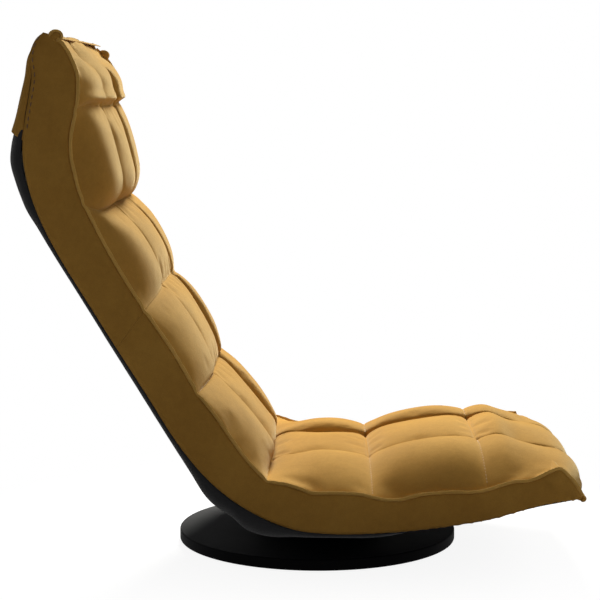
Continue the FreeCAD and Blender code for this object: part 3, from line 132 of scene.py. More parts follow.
def spline(points, count_per=14):
    """Centripetal Catmull-Rom through the points, as a dense polyline with arc lengths."""
    places = np.array(points, float)
    ends = [2 * places[0] - places[1], *places, 2 * places[-1] - places[-2]]
    out = []
    for i in range(1, len(ends) - 2):
        four = ends[i - 1:i + 3]
        k = [0.0]
        for p, q in zip(four, four[1:]):
            k.append(k[-1] + max(np.linalg.norm(q - p), 1e-6) ** 0.5)
        for s in np.linspace(k[1], k[2], count_per, endpoint=False):
            v = four
            for spans in (((0, 1), (1, 2), (2, 3)), ((0, 2), (1, 3)), ((1, 2),)):
                v = [(k[b] - s) / (k[b] - k[a]) * p + (s - k[a]) / (k[b] - k[a]) * q
                     for (a, b), p, q in zip(spans, v, v[1:])]
            out.append(v[0])
    out.append(places[-1])
    return np.array(out), arc_of(out)


class Line:
    """A smooth side-view line that can be read by its arc length."""

    def __init__(self, points):
        self.line, self.arc = spline(points)
        self.length = self.arc[-1]

    def at(self, s):
        return read_at(np.asarray(s, float), self.arc, self.line)

    def find(self, place):
        return self.arc[np.argmin(np.linalg.norm(self.line - np.array(place), axis=1))]

    def along(self, s, reach):
        return unit(self.at(np.asarray(s) + reach) - self.at(np.asarray(s) - reach))


piping = Line(PIPING)
hem = Line(seen([b for a, b in SIDE_PAIRS]))
pair_s = np.array([piping.find(seen([a])[0]) for a, b in SIDE_PAIRS])
pair_h = np.array([hem.find(seen([b])[0]) for a, b in SIDE_PAIRS])

# On the left the padding has settled, and more so at (place, depth, reach)
SETTLED = 5.0
SETTLED_MORE = [(piping.find(seen([place])[0]), depth, reach) for place, depth, reach in (
    ((318, 154), 13.0, 28.0), ((330, 141), 8.0, 22.0), ((-8, 121), 3.5, 30.0),
    ((-40, 132), 5.0, 25.0), ((-157, 254), 5.0, 22.0), ((-225, 363), 3.5, 22.0),
    ((-329, 708), 5.0, 30.0))]
AWAY = np.array([-1.0, 0.7])    # forward and up, off the padding


def outward(s):
    """Direction away from the side's velvet, square to the piping."""
    t = piping.along(s, 5)
    out = np.stack([-t[:, 1], t[:, 0]], -1)
    return out * np.sign((out * AWAY).sum(-1) + 1e-9)[:, None]


def rim(s, sign):
    """Where the piping runs on one side; on the left the padding has settled a little."""
    place = piping.at(s)
    if sign < 0:
        return place
    depth = SETTLED + sum(more * np.exp(-((s - at) / reach) ** 2)
                          for at, more, reach in SETTLED_MORE)
    return place - outward(s) * depth[:, None]


def hem_at(s):
    """Hem place that goes with an arc length of the piping."""
    return hem.at(np.interp(s, pair_s, pair_h))


# ---- quilt
# A station is the start of the rise (Y, Z), the rise's direction from forward, the rise of
# the column seams and how far the middle and the outer columns stand over them.

RISE_FROM = -22         # Y from which the back's rises start, in its own frame


def on_back(z, angle, *rest):
    return back(RISE_FROM, z) + (angle + BACK_LEAN,) + rest


def on_head(y, z, angle, *rest):
    return head(y, z) + (angle - HEAD_LEAN,) + rest


# Share of the way from seam to seam, and share of the row's swell there
SWELL = [(0.08, 0.52), (0.24, 0.88), (0.5, 1.0), (0.76, 0.88), (0.92, 0.52)]


def swollen(first, last, rises):
    """Stations of a plain row: the values between two seams, plus the row's swell."""
    out = [first]
    for share, full in SWELL:
        v = [a + (b - a) * share for a, b in zip(first, last)]
        v[3:] = [a + r * full for a, r in zip(v[3:], rises)]
        out.append(tuple(v))
    return out + [last]


FRONT_HEM = NOSE + (2, 70, 2, 6)
T2 = (-223, 122.4, 90, 38, 3, 12)
T1 = (-72, 116, 90, 18, 3, 12)
FOLD = RECLINE + (64, 48, 2, 3)
R4 = on_back(175, 0, 14, 0, 7)
R3 = on_back(318, 0, 18, 0, 7)
R2 = HEAD + (-34.8, 113, 1, 8)
R1 = HEAD + (41.8, 104, 1, 6)

ROWS = [
    # front roll
    [FRONT_HEM, NOSE + (18, 67, 4, 11), NOSE + (38, 58, 4, 11), NOSE + (58, 49, 4, 8),
     NOSE + (78, 46, 4, 8), NOSE + (102.5, 49, 5, 11), (-257, 134.2, 92, 37, 6, 13),
     (-236, 127.2, 90, 39, 5, 14), T2],
    # middle row of the seat
    swollen(T2, T1, (12, 4, 5)),
    # rear row of the seat, down into the fold
    [T1, (-60, 116, 90, 22, 4, 15), (-36, 116, 90, 24, 5, 17), (0, 116, 90, 24, 5, 17),
     RECLINE + (46, 72, 5, 10), RECLINE + (53, 63, 5, 9), RECLINE + (59, 54, 4, 7), FOLD],
    # lowest row of the back
    [FOLD, RECLINE + (68, 66, 5, 12), RECLINE + (75, 74, 8, 14), on_back(52, 30, 34, 6, 13),
     on_back(90, 10, 28, 4, 11), on_back(130, 0, 23, 3, 9),
     on_back(159, 0, 18, 2, 8), R4],
    # middle row of the back
    swollen(R4, R3, (9, 3, 4)),
    # upper row of the back
    [R3, on_back(333, 0, 26, 1, 8), on_back(357, 0, 31, 3, 9),
     on_back(385, 0, 32, 4, 10), on_back(418, -12, 31, 4, 9),
     on_back(447, -30, 29, 2, 8), R2],
    # neck row
    [R2, HEAD + (-27, 115, 5, 9), HEAD + (-15, 109, 6, 11), HEAD + (0, 98, 6, 11),
     HEAD + (15, 94, 6, 11), HEAD + (28, 97, 5, 10), HEAD + (36, 101, 2, 8), R1],
    # head row
    [R1, on_head(-24, 66, 34, 42, 2, 9), on_head(-24, 76, 24, 42, 4, 12),
     on_head(5, 110, -2, 58, 4, 13), on_head(5, 110, 12, 55, 4, 11),
     on_head(5, 110, 30, 49, 4, 6), on_head(5, 110, 50, 42, 3, 2),
     on_head(5, 110, 72, 45, 3, 2), on_head(5, 110, 92, 55, 3, 3)],
]
# Where each cross seam meets the piping
CROSSES = [piping.find(p) for p in seen([
    (347, 118), (224, 125.5), (73, 115), (-66, 138), (-157, 254), (-225, 363), (-302, 501),
    (-311, 622), (-341, 718)])]
CELLS = 26              # from cross seam to cross seam
COLUMN_CELLS = 26       # from column seam to column seam
EASE = 0.6              # how much finer the cells get towards the seams
SPAN = 10               # points of a row's line from station to station
SEAM_SINK = 3.5         # how far the column seams are drawn in between two cross seams
PINCH = 7.0             # depth of the dimple where two seams cross
PINCH_ALONG = 6.0       # its reach along the column seam
PINCH_ACROSS = 8.0      # its reach across it
CROWN = 0.72            # roundness of the middle column, 0.5 is a half circle
LEAST_CREST = 2.0       # an outer column stands over its seam by this much at least
KINK_FADE = 0.06        # share of a column in which the piping's kinks die out
SOFT_REACH = 20.0       # smoothing of the piping's line under the pillows
OPEN_REACH = 26.0       # smoothing of the column seams' line


def spread(count, ease):
    """0 to 1 in count cells, finer near both ends."""
    t = np.linspace(0, 1, count + 1)
    return (1 - ease) * t + ease * (1 - np.cos(math.pi * t)) / 2


def soft_piping(s):
    """The piping without its small kinks, for the pillows that rise from it."""
    reach = np.linspace(-2 * SOFT_REACH, 2 * SOFT_REACH, 17)
    weight = np.exp(-(reach / SOFT_REACH) ** 2)
    places = piping.at(np.clip(s[:, None] + reach[None], 0, piping.length))
    return (places * weight[None, :, None]).sum(1) / weight.sum()


def centre_line(k, t):
    """Places on a row's column seams and directions of the rise there, the seams' length, the
    stations' shares of it and the stations."""
    st = np.array(ROWS[k], float)
    angle = np.radians(st[:, 2])
    d = np.stack([-np.cos(angle), np.sin(angle)], -1)
    line, arc = spline(st[:, :2] + d * st[:, 3:4], SPAN)
    own = arc[::SPAN] / arc[-1]
    return read_at(t * arc[-1], arc, line), read_at(t, own, d), arc[-1], own, st


def mean_rise(k):
    """How far the column seams of a row stand over the piping, on average."""
    t = np.linspace(0, 1, 12)
    centre, d = centre_line(k, t)[:2]
    edge = soft_piping(CROSSES[k] + (CROSSES[k + 1] - CROSSES[k]) * t)
    return float(((centre - edge) * d).sum(-1).mean())


def row_grid(k):
    """Points of one row: (along, across, XYZ)."""
    def between(values):
        return (1 - t) * values[k] + t * values[k + 1]

    t = spread(CELLS, EASE)
    w = spread(COLUMN_CELLS, EASE)
    open_centre, dd, length, own, st = centre_line(k, t)
    dd = unit(dd)
    values = []
    for c in (4, 5):
        v, _ = spline(np.stack([own * 100, st[:, c]], -1), SPAN)
        values.append(np.interp(t * 100, v[:, 0], v[:, 1]))
    middle, outer = values
    sunk = SEAM_SINK * np.sin(math.pi * np.clip(t, 0, 1)) ** 0.6
    centre = open_centre - dd * sunk[:, None]
    middle = middle + sunk * 0.92
    s = between(CROSSES)
    edge = soft_piping(s)
    kinks = piping.at(s) - edge
    settled = rim(s, 1) - piping.at(s)
    crossing = PINCH * np.exp(-(np.minimum(t, 1 - t) * length / PINCH_ALONG) ** 2)
    # height of the outer columns: a climb from the piping to the crest, a fall to the seam
    rises = ((open_centre - edge) * dd).sum(-1)
    soft_rises = ((soft_centre(k, t) - edge) * dd).sum(-1)
    keep = between(KEEP)
    crests = keep * rises + (1 - keep) * soft_rises - 0.28 * between(LEVELS) + 0.9 * outer
    steep = between(STEEP)
    crest_at = between(CREST)
    rows = []
    for j in range(len(t)):
        across = []
        foot = rises[j] - sunk[j]
        crest = max(crests[j], foot + LEAST_CREST)
        at = crest_at[j]
        climb = crest * (1 - np.abs(1 - w / at) ** steep[j])
        fall = foot + (crest - foot) * np.sqrt(np.clip(1 - ((w - at) / (1 - at)) ** 2, 0, 1))
        height = np.where(w < at, climb, fall)
        for i, share in enumerate(w):
            x = SIDE + (COLUMN - SIDE) * share
            pinch = crossing[j] * math.exp(-((x - COLUMN) / PINCH_ACROSS) ** 2)
            p = edge[j] + (open_centre[j] - edge[j]) * share
            p = p + dd[j] * (height[i] - rises[j] * share - pinch)
            p = p + kinks[j] * math.exp(-share / KINK_FADE)
            across.append((x, p[0], p[1]))
        for share in w[1:-1]:
            u = 2 * share - 1
            pinch = crossing[j] * math.exp(-((1 - abs(u)) * COLUMN / PINCH_ACROSS) ** 2)
            p = centre[j] + dd[j] * (middle[j] * (1 - abs(u) ** 2) ** CROWN - pinch)
            across.append((-COLUMN * u, p[0], p[1]))
        right = [(-x, y, z) for x, y, z in across[:len(w)]][::-1]
        left = [(x, y + settled[j, 0] * (1 - share), z + settled[j, 1] * (1 - share))
                for share, (x, y, z) in zip(w, across)]
        rows.append(left + across[len(w):] + right)
    return np.array(rows)


def at_seams(of_rows):
    """A value of each row, turned into one for each cross seam between them."""
    between = [(a + b) / 2 for a, b in zip(of_rows, of_rows[1:])]
    return [of_rows[0]] + between + [of_rows[-1]]


LEVELS = at_seams([mean_rise(k) for k in range(len(ROWS))])
# How steeply the outer columns climb from the piping, and where across them the crest is
STEEP = at_seams([1.9, 1.9, 1.8, 2.1, 2.1, 1.8, 8.0, 1.6])
CREST = at_seams([0.78, 0.78, 0.8, 0.88, 0.9, 0.9, 0.88, 0.86])
# How much of each cross seam's dip the outer columns keep
KEEP = [1.0, 0.1, 0.3, 1.0, 0.8, 0.8, 0.9, 0.7, 1.0]

# The whole line of the column seams, row by row, before they are drawn in
OPEN_COUNT = 40
OPEN_LENGTHS = []
OPEN_PLACES = []
for k in range(len(ROWS)):
    places, _, length, _, _ = centre_line(k, np.linspace(0, 1, OPEN_COUNT))
    OPEN_LENGTHS.append(length)
    OPEN_PLACES.append(places)
OPEN_PLACES = np.concatenate(OPEN_PLACES)
OPEN_START = sums(OPEN_LENGTHS)
OPEN_ARC = np.concatenate([start + np.linspace(0, length, OPEN_COUNT)
                           for start, length in zip(OPEN_START, OPEN_LENGTHS)])


def soft_centre(k, t):
    """Line of the column seams without the dips at the cross seams."""
    here = OPEN_START[k] + t * OPEN_LENGTHS[k]
    weight = np.exp(-((here[:, None] - OPEN_ARC[None]) / OPEN_REACH) ** 2)
    return weight @ OPEN_PLACES / weight.sum(1, keepdims=True)


def mesh_object(name, points, faces, smooth=True):
    mesh = bpy.data.meshes.new(name)
    mesh.from_pydata([tuple(p) for p in np.asarray(points, float) * MM], [],
                     [tuple(map(int, f)) for f in faces])
    mesh.validate()
    mesh.update()
    if smooth:
        mesh.polygons.foreach_set("use_smooth", [True] * len(mesh.polygons))
    obj = bpy.data.objects.new(name, mesh)
    bpy.context.scene.collection.objects.link(obj)
    return obj


def numbered(rows, across):
    return np.arange(rows * across).reshape(rows, across)


def grid_faces(rows, across, flip=False):
    ids = numbered(rows, across)
    f = np.stack([ids[:-1, :-1], ids[1:, :-1], ids[1:, 1:], ids[:-1, 1:]], -1).reshape(-1, 4)
    return [tuple(corners) for corners in (f[:, ::-1] if flip else f).tolist()]


def ring_faces(ids):
    """Faces of a tube whose rings of points have these numbers, without its ends."""
    return [f for one, two in zip(ids, ids[1:])
            for f in zip(one, two, np.roll(two, -1), np.roll(one, -1))]


def normals(grid):
    """Unit normals of a grid of points."""
    a = np.gradient(grid, axis=0)
    b = np.gradient(grid, axis=1)
    return unit(np.cross(a, b))


def rumple(grid, size, seed):
    """Soft noise of about -1 to 1 at each point of a grid."""
    flat = grid.reshape(-1, 3) / size
    shift = Vector((seed * 17.3, seed * 5.1, seed * 9.7))
    found = [noise.noise(Vector(p) + shift) for p in flat]
    return np.array(found).reshape(grid.shape[:-1]) * 1.6


def waver(s, size, seed, row):
    """Soft noise of about -1 to 1 at places along a line."""
    return np.array([noise.noise(Vector((v / size, seed, row))) for v in s])


CLOTH = {
    "vertex_group_mass": "pins", "quality": 6, "mass": 0.15, "use_pressure": True,
    "use_pressure_volume": True, "target_volume": 0.0, "uniform_pressure_force": 2.2,
    "tension_stiffness": 18, "compression_stiffness": 10, "shear_stiffness": 4,
    "bending_stiffness": 3.0, "tension_damping": 12, "compression_damping": 12,
    "shear_damping": 8, "bending_damping": 0.6, "air_damping": 4, "shrink_min": -0.006}
FRAMES = 20


def inflate(grid, pins, cap, name):
    """Blow the quilt up between its pinned seams by cloth simulation, to the cap at most."""
    rows, across = grid.shape[:2]
    obj = mesh_object(name, grid.reshape(-1, 3), grid_faces(rows, across))
    group = obj.vertex_groups.new(name="pins")
    group.add([int(i) for i in np.flatnonzero(pins.ravel())], 1.0, "REPLACE")
    cloth = obj.modifiers.new("cloth", "CLOTH")
    for setting, value in CLOTH.items():
        setattr(cloth.settings, setting, value)
    cloth.settings.effector_weights.gravity = 0.0
    cloth.collision_settings.use_collision = False
    cloth.point_cache.frame_start = 1
    cloth.point_cache.frame_end = FRAMES
    scene = bpy.context.scene
    for f in range(1, FRAMES + 1):
        scene.frame_set(f)
    bpy.context.view_layer.update()
    out = obj.evaluated_get(bpy.context.evaluated_depsgraph_get())
    co = np.empty(len(out.data.vertices) * 3)
    out.data.vertices.foreach_get("co", co)
    scene.frame_set(1)
    bpy.data.objects.remove(obj)
    moved = co.reshape(rows, across, 3) / MM - grid
    size = np.linalg.norm(moved, axis=-1, keepdims=True)
    print("%s: moved %.1f mm at most, %.1f on average" % (name, size.max(), size.mean()))
    return grid + moved * np.minimum(1.0, cap / np.maximum(size, 1e-9))


def seam_distance(grid, lines, axis):
    """Distance in mm from the nearest seam line, measured along one axis of the grid."""
    step = np.linalg.norm(np.diff(grid, axis=axis), axis=-1)
    pad = [(0, 0), (0, 0)]
    pad[axis] = (1, 0)
    arc = np.cumsum(np.pad(step, pad), axis=axis)
    best = np.full(grid.shape[:2], 1e9)
    for k in lines:
        best = np.minimum(best, np.abs(arc - np.take(arc, [k], axis=axis)))
    return best, arc


MOST_BLOWN = 20.0       # how far a pillow is blown up at most
CALM_REACH = 26.0       # the outer columns are blown up less this near to a cross seam
SEAT_FREE = 0.85        # share of an outer column in which a cross seam isn't held down,
BACK_FREE = 0.55        # on the seat and on the rest
GROOVE = 2.4            # depth of a cross seam's groove in the middle column,
GROOVE_LESS = 1.3       # how much less it is at the piping,
GROOVE_REACH = 2.0      # and its reach to each side
COLUMN_GROOVE = 1.9     # depth and reach of a column seam's groove
COLUMN_REACH = 2.4
BARE = 1.6              # the gathers start this far from a seam
PILLOW_REACH = 25.0     # how far from a seam a pillow's own unevenness sets in


def out_share(grid):
    """How far out in an outer column, 0 at its seam and 1 at the piping."""
    return (np.abs(grid[..., 0]) - COLUMN) / (SIDE - COLUMN)


def gathers(phase, grid, pitch, seed, sizes, distance, reach):
    """Gathers that run square off a seam and die out over the pillow."""
    wave = np.sin(phase / pitch + 3.0 * rumple(grid, sizes[0], seed))
    return wave * (0.5 + 0.5 * rumple(grid, sizes[1], seed + 1)) * np.exp(-distance / reach)


def finish_quilt(name, first, last, seed):
    """The rows of one quilt, blown up, gathered and drawn in at the seams."""
    grid = np.concatenate([row_grid(k)[int(k > first):] for k in range(first, last)])
    rows, across = grid.shape[:2]
    seam_rows = [k * CELLS for k in range(last - first + 1)]
    seam_cols = [k * COLUMN_CELLS for k in range(4)]
    pins = np.zeros((rows, across), bool)
    for k in seam_rows[1:-1]:
        share = SEAT_FREE if first == 0 and k < 3 * CELLS else BACK_FREE
        free = int(share * COLUMN_CELLS)
        pins[k, free:across - free] = True
    pins[0] = pins[-1] = True
    pins[:, seam_cols] = True
    cap = np.full((rows, 1, 1), MOST_BLOWN)
    if first == 0:
        cap[:CELLS, 0, 0] = np.linspace(4, 16, CELLS)
    to_cross, _ = seam_distance(grid, seam_rows, 0)
    calm = 1 - np.clip(4 * out_share(grid), 0, 1) * np.exp(-(to_cross / CALM_REACH) ** 2)
    blown = inflate(grid, pins, cap, name + "_cloth")
    grid = grid + (blown - grid) * calm[..., None]
    out = normals(grid)
    to_cross, along = seam_distance(grid, seam_rows, 0)
    to_column, _ = seam_distance(grid, seam_cols, 1)
    wave = gathers(grid[..., 0], grid, 4.1, seed, (31, 45), to_cross, 13.0)
    wave2 = gathers(along, grid, 4.3, seed + 2, (29, 50), to_column, 12.0)
    held = (1 - np.exp(-to_cross / BARE)) * (1 - np.exp(-to_column / BARE))
    lift = (0.3 * wave + 0.35 * wave2) * held
    away = 1 - np.exp(-np.minimum(to_cross, to_column) / PILLOW_REACH)
    lift = lift + away * (0.45 * rumple(grid, 75, seed + 4) + 0.1 * rumple(grid, 24, seed + 5))
    groove = GROOVE - GROOVE_LESS * np.clip(out_share(grid), 0, 1)
    lift = lift - groove * np.exp(-(to_cross / GROOVE_REACH) ** 2)
    lift = lift - COLUMN_GROOVE * np.exp(-(to_column / COLUMN_REACH) ** 2)
    lift[:, 0] = lift[:, -1] = 0
    lift[0] = lift[-1] = 0
    return grid + out * lift[..., None]


BASE_DEPTH = 6.0        # how far the quilt's flat base lies under the piping,
BASE_IN = 1.5           # and inside it
SEAM_CREASE = 0.6


def close_quilt(name, grid):
    """Close the quilt with walls and a flat base, and crease its seams."""
    rows, across = grid.shape[:2]
    points = list(grid.reshape(-1, 3))
    faces = grid_faces(rows, across)
    start = len(points)
    for j in range(rows):
        t = unit(grid[min(rows - 1, j + 1), 0, 1:] - grid[max(0, j - 1), 0, 1:])
        for end, shift in ((grid[j, 0], -BASE_IN), (grid[j, -1], BASE_IN)):
            points.append((end[0] + shift, end[1] + t[1] * BASE_DEPTH, end[2] - t[0] * BASE_DEPTH))
    for j in range(rows - 1):
        l0, r0 = start + 2 * j, start + 2 * j + 1
        l1, r1 = l0 + 2, r0 + 2
        g0, g1 = j * across, (j + 1) * across
        e0, e1 = g0 + across - 1, g1 + across - 1
        faces += [(g0, l0, l1, g1), (l0, r0, r1, l1), (r0, e0, e1, r1)]
    last = (rows - 1) * across
    faces.append(tuple(range(across)) + (start + 1, start))
    faces.append(tuple(range(last, last + across))[::-1] + (start + 2 * rows - 2,
                                                            start + 2 * rows - 1))
    obj = mesh_object(name, points, faces)
    crease = obj.data.attributes.new("crease_edge", "FLOAT", "EDGE")
    ends = np.array([e.vertices[:] for e in obj.data.edges])
    value = np.zeros(len(ends))
    top = (ends < rows * across).all(1)
    for place, cells, size in ((ends // across, CELLS, rows),
                               (ends % across, COLUMN_CELLS, across)):
        on_seam = top & (place[:, 0] == place[:, 1])
        for seam in range(cells, size - 1, cells):
            value[on_seam & (place[:, 0] == seam)] = SEAM_CREASE
        value[on_seam & ((place[:, 0] == 0) | (place[:, 0] == size - 1))] = 1.0
    crease.data.foreach_set("value", value.astype(np.float32))
    return obj


def subdivide(obj):
    m = obj.modifiers.new("subdivision", "SUBSURF")
    m.levels = m.render_levels = 1
    m.boundary_smooth = "PRESERVE_CORNERS"
    bpy.context.view_layer.objects.active = obj
    for o in bpy.context.selected_objects:
        o.select_set(False)
    obj.select_set(True)
    bpy.ops.object.modifier_apply(modifier=m.name)


# ---- materials

def fill(nt, node, inputs):
    """Set sockets to values, or link them to other nodes' outputs."""
    for socket, value in inputs.items():
        if isinstance(value, bpy.types.NodeSocket):
            nt.links.new(value, node.inputs[socket])
        else:
            node.inputs[socket].default_value = value


def add_node(nt, kind, inputs, **settings):
    node = nt.nodes.new("ShaderNode" + kind)
    for setting, value in settings.items():
        setattr(node, setting, value)
    fill(nt, node, inputs)
    return node


def empty_tree(owner):
    owner.use_nodes = True
    owner.node_tree.nodes.clear()
    return owner.node_tree


def new_material(name):
    m = bpy.data.materials.new(name)
    nt = empty_tree(m)
    bsdf = add_node(nt, "BsdfPrincipled", {})
    add_node(nt, "OutputMaterial", {"Surface": bsdf.outputs["BSDF"]})
    return m, nt, bsdf, add_node(nt, "TexCoord", {}).outputs["Object"]


def srgb(*levels):
    return tuple(v / 12.92 if v <= 0.04045 else ((v + 0.055) / 1.055) ** 2.4
                 for v in [level / 255 for level in levels]) + (1.0,)


def grey(v):
    return (v, v, v, 1)


def tinted(colour, factor):
    return tuple(min(1, c * factor) for c in colour[:3]) + (1.0,)


def noisy(nt, coord, scale, detail, rough=0.55, distortion=0.0):
    return add_node(nt, "TexNoise", {"Scale": scale, "Detail": detail, "Roughness": rough,
                                     "Distortion": distortion, "Vector": coord}).outputs["Fac"]


def ramp(nt, fac, *stops):
    r = add_node(nt, "ValToRGB", {"Fac": fac})
    for item, (pos, colour) in zip(r.color_ramp.elements, stops):
        item.position = pos
        item.color = colour
    return r.outputs["Color"]


def mix(nt, fac, a, b, kind="MIX"):
    return add_node(nt, "Mix", {0: fac, 6: a, 7: b}, data_type="RGBA", blend_type=kind).outputs[2]


def ranged(nt, value, low, high):
    return add_node(nt, "MapRange", {"Value": value, "To Min": low,
                                     "To Max": high}).outputs["Result"]


def bump(nt, height, strength, distance, after=None):
    inputs = {"Height": height, "Strength": strength, "Distance": distance}
    if after is not None:
        inputs["Normal"] = after
    return add_node(nt, "Bump", inputs).outputs["Normal"]


def velvet(name, light, dark, sheen):
    m, nt, bsdf, co = new_material(name)
    # The cloud's large lighter and darker patches are partly the velvet's own uneven tone and
    # partly painted shade of shallow dents in the cloth.
    cloud = noisy(nt, co, 9, 2, 0.5, 0.2)
    streak = noisy(nt, co, 120, 4, 0.6, 0.3)
    nap = noisy(nt, co, 900, 3, 0.7)
    body = ramp(nt, cloud, (0.3, dark), (0.7, light))
    rub = ramp(nt, streak, (0.35, tinted(dark, 0.72)), (0.65, tinted(light, 1.16)))
    base = mix(nt, 0.12, body, rub)
    fibre = ramp(nt, nap, (0.25, grey(0.62)), (0.75, grey(1.25)))
    fill(nt, bsdf, {
        "Base Color": mix(nt, 0.35, base, mix(nt, 1.0, base, fibre, "MULTIPLY")),
        "Roughness": 0.88, "Specular IOR Level": 0.0, "Sheen Weight": sheen,
        "Sheen Roughness": 0.38, "Sheen Tint": (1.0, 0.93, 0.6, 1.0),
        "Normal": bump(nt, nap, 0.35, 0.0004, bump(nt, streak, 0.12, 0.0006))})
    return m


def woven(name, light, dark, pitch=900):
    m, nt, bsdf, co = new_material(name)
    bands = [add_node(nt, "TexWave", {"Scale": pitch, "Distortion": 0.4, "Vector": co},
                      wave_type="BANDS", bands_direction=axis).outputs["Fac"] for axis in "XZ"]
    weave = add_node(nt, "Math", {0: bands[0], 1: bands[1]}, operation="MULTIPLY").outputs[0]
    cloud = noisy(nt, co, 18, 4, 0.6)
    tint = ramp(nt, cloud, (0.35, dark), (0.7, light))
    fill(nt, bsdf, {
        "Base Color": mix(nt, 0.35, tint, ramp(nt, weave, (0.0, dark), (1.0, light))),
        "Roughness": 0.85, "Specular IOR Level": 0.2, "Sheen Weight": 0.06,
        "Normal": bump(nt, weave, 0.5, 0.0003, bump(nt, cloud, 0.2, 0.002))})
    return m


def metal(name, colour, rough, metallic=1.0, scale=120):
    m, nt, bsdf, co = new_material(name)
    grain = noisy(nt, co, scale, 5, 0.65)
    patch = noisy(nt, co, 14, 3, 0.5)
    fill(nt, bsdf, {
        "Base Color": ramp(nt, patch, (0.3, tinted(colour, 0.78)), (0.7, tinted(colour, 1.12))),
        "Roughness": ranged(nt, grain, max(0.05, rough - 0.1), min(1.0, rough + 0.14)),
        "Metallic": metallic, "Normal": bump(nt, grain, 0.12, 0.0004)})
    return m


def board(name, colour):
    """Painted board: a fine orange-peel film over a smooth panel, dusty and rubbed in places."""
    m, nt, bsdf, co = new_material(name)
    peel = noisy(nt, co, 420, 3, 0.5)
    cloud = noisy(nt, co, 11, 5, 0.6)
    fill(nt, bsdf, {
        "Base Color": ramp(nt, cloud, (0.35, colour), (0.75, tinted(colour, 1.9))),
        "Roughness": ranged(nt, cloud, 0.62, 0.8), "Specular IOR Level": 0.025,
        "Normal": bump(nt, peel, 0.15, 0.0004)})
    return m


def rubber(name, light, dark):
    m, nt, bsdf, co = new_material(name)
    dots = add_node(nt, "TexVoronoi", {"Scale": 260, "Vector": co}).outputs["Distance"]
    fill(nt, bsdf, {"Base Color": ramp(nt, dots, (0.0, light), (0.6, dark)), "Roughness": 0.82,
                    "Normal": bump(nt, dots, 0.5, 0.0006)})
    return m


def thread(name, dark, light):
    m, nt, bsdf, co = new_material(name)
    twist = noisy(nt, co, 2200, 2)
    fill(nt, bsdf, {"Base Color": ramp(nt, twist, (0.3, dark), (0.7, light)), "Roughness": 0.6,
                    "Normal": bump(nt, twist, 0.5, 0.0003)})
    return m


GOLD = velvet("mustard_velvet", srgb(193, 146, 71), srgb(176, 130, 61), 0.25)
# The piping's velvet is a lighter copy of the mustard velvet: painted highlight, standing in for
# the light that catches the piping's raised top.
PAINTED_LIT_TRIM = velvet("mustard_piping_painted_highlight", srgb(232, 186, 104), srgb(214, 168, 88), 0.6)
THREAD = thread("gold_thread", srgb(168, 128, 66), srgb(226, 188, 120))
# Dark brown thread: painted shade, standing in for the shadow in which the sunk topstitch lies.
PAINTED_SHADE_THREAD = thread("thread_painted_shade", srgb(62, 42, 18), srgb(104, 74, 34))
BLACK = woven("black_cloth", srgb(38, 38, 40), srgb(22, 22, 24))
WEB = woven("webbing", srgb(60, 58, 55), srgb(30, 29, 28), 500)
BOARD = board("base_board", srgb(7, 7, 8))
RUBBER = rubber("mat_rubber", (0.035, 0.035, 0.036, 1), (0.016, 0.016, 0.017, 1))
ZINC = metal("zinc_steel", srgb(176, 178, 176), 0.36)
BALL = metal("ball_steel", srgb(205, 206, 208), 0.16, 1.0, 60)
PAINT = metal("frame_paint", srgb(26, 26, 27), 0.45, 0.0, 300)
RATCHET = metal("ratchet_steel", srgb(150, 148, 140), 0.42)
BY_SLOT = {"mat_rubber": RUBBER, "base_board": BOARD, "zinc_steel": ZINC, "ball_steel": BALL,
           "frame_paint": PAINT, "ratchet_steel": RATCHET, "webbing": WEB, "foam": WEB,
           "mustard_velvet": GOLD, "black_cloth": BLACK}

slots = {s["node"]: s["material_slot"] for s in frame["record"]["subparts"]}
for node, obj in frame["nodes"].items():
    material = BY_SLOT[slots[node]]
    if not obj.data.materials:
        obj.data.materials.append(material)
    for k in range(len(obj.data.materials)):
        obj.data.materials[k] = material


def zone(hinge, crease, reach, low, high):
    """Where a blend starts and ends, on a line square to the crease at a hinge."""
    mid = [h + reach * c for h, c in zip(hinge, crease)]
    along = (crease[1], -crease[0])
    a = [m + low * t for m, t in zip(mid, along)]
    b = [m + high * t for m, t in zip(mid, along)]
    return (0, a[0] * MM, a[1] * MM), (0, b[0] * MM, b[1] * MM)


HIP_CREASE = (-0.485, 0.875)
NECK_CREASE = (-0.998, 0.061)
FOLD_ZONE = zone(RECLINE, HIP_CREASE, 65, -26, 30)
HEAD_ZONE = zone(HEAD, NECK_CREASE, 60, -42, 42)


# ---- build the quilt

def add_quilt(name, first, last, seed, nodes):
    grid = finish_quilt(name, first, last, seed)
    obj = close_quilt(name, grid)
    subdivide(obj)
    obj.data.materials.append(GOLD)
    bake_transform(obj)
    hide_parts(*nodes)
    return obj, grid


lower, lower_grid = add_quilt("quilt_seat_and_back", 0, 5, 3,
                              ("seat_cushion", "lumbar_fold", "back_cushion", "seat_foam",
                               "back_foam"))
upper, _ = add_quilt("quilt_neck_and_head", 5, 8, 11,
                     ("neck_cushion", "head_cushion", "head_foam"))


# ---- sheets of cloth

def shell(name, grid, thickness, material, flip, hole=None):
    """A sheet of cloth with a little thickness, closed round its border and its hole."""
    rows, across = grid.shape[:2]
    inner = grid - normals(grid) * (-thickness if flip else thickness)
    faces = grid_faces(rows, across, flip)
    if hole is not None:
        faces = [f for f, gone in zip(faces, hole.ravel()) if not gone]
    sides = {(a, b) for f in faces for a, b in zip(f, f[1:] + f[:1])}
    walls = sorted((a, b) for a, b in sides if (b, a) not in sides)
    count = rows * across
    faces += [tuple(count + i for i in f[::-1]) for f in faces]
    faces += [(b, a, count + a, count + b) for a, b in walls]
    obj = mesh_object(name, np.concatenate([grid.reshape(-1, 3), inner.reshape(-1, 3)]), faces)
    obj.data.materials.append(material)
    return obj


VELVET = 1.6            # thickness of the side's velvet
VELVET_OUT = 259.6      # its hems, from the middle
VELVET_SWELL = 3.6      # how far it swells out between them
GATHERED_TO = 230.0     # the front part is gathered, up to here


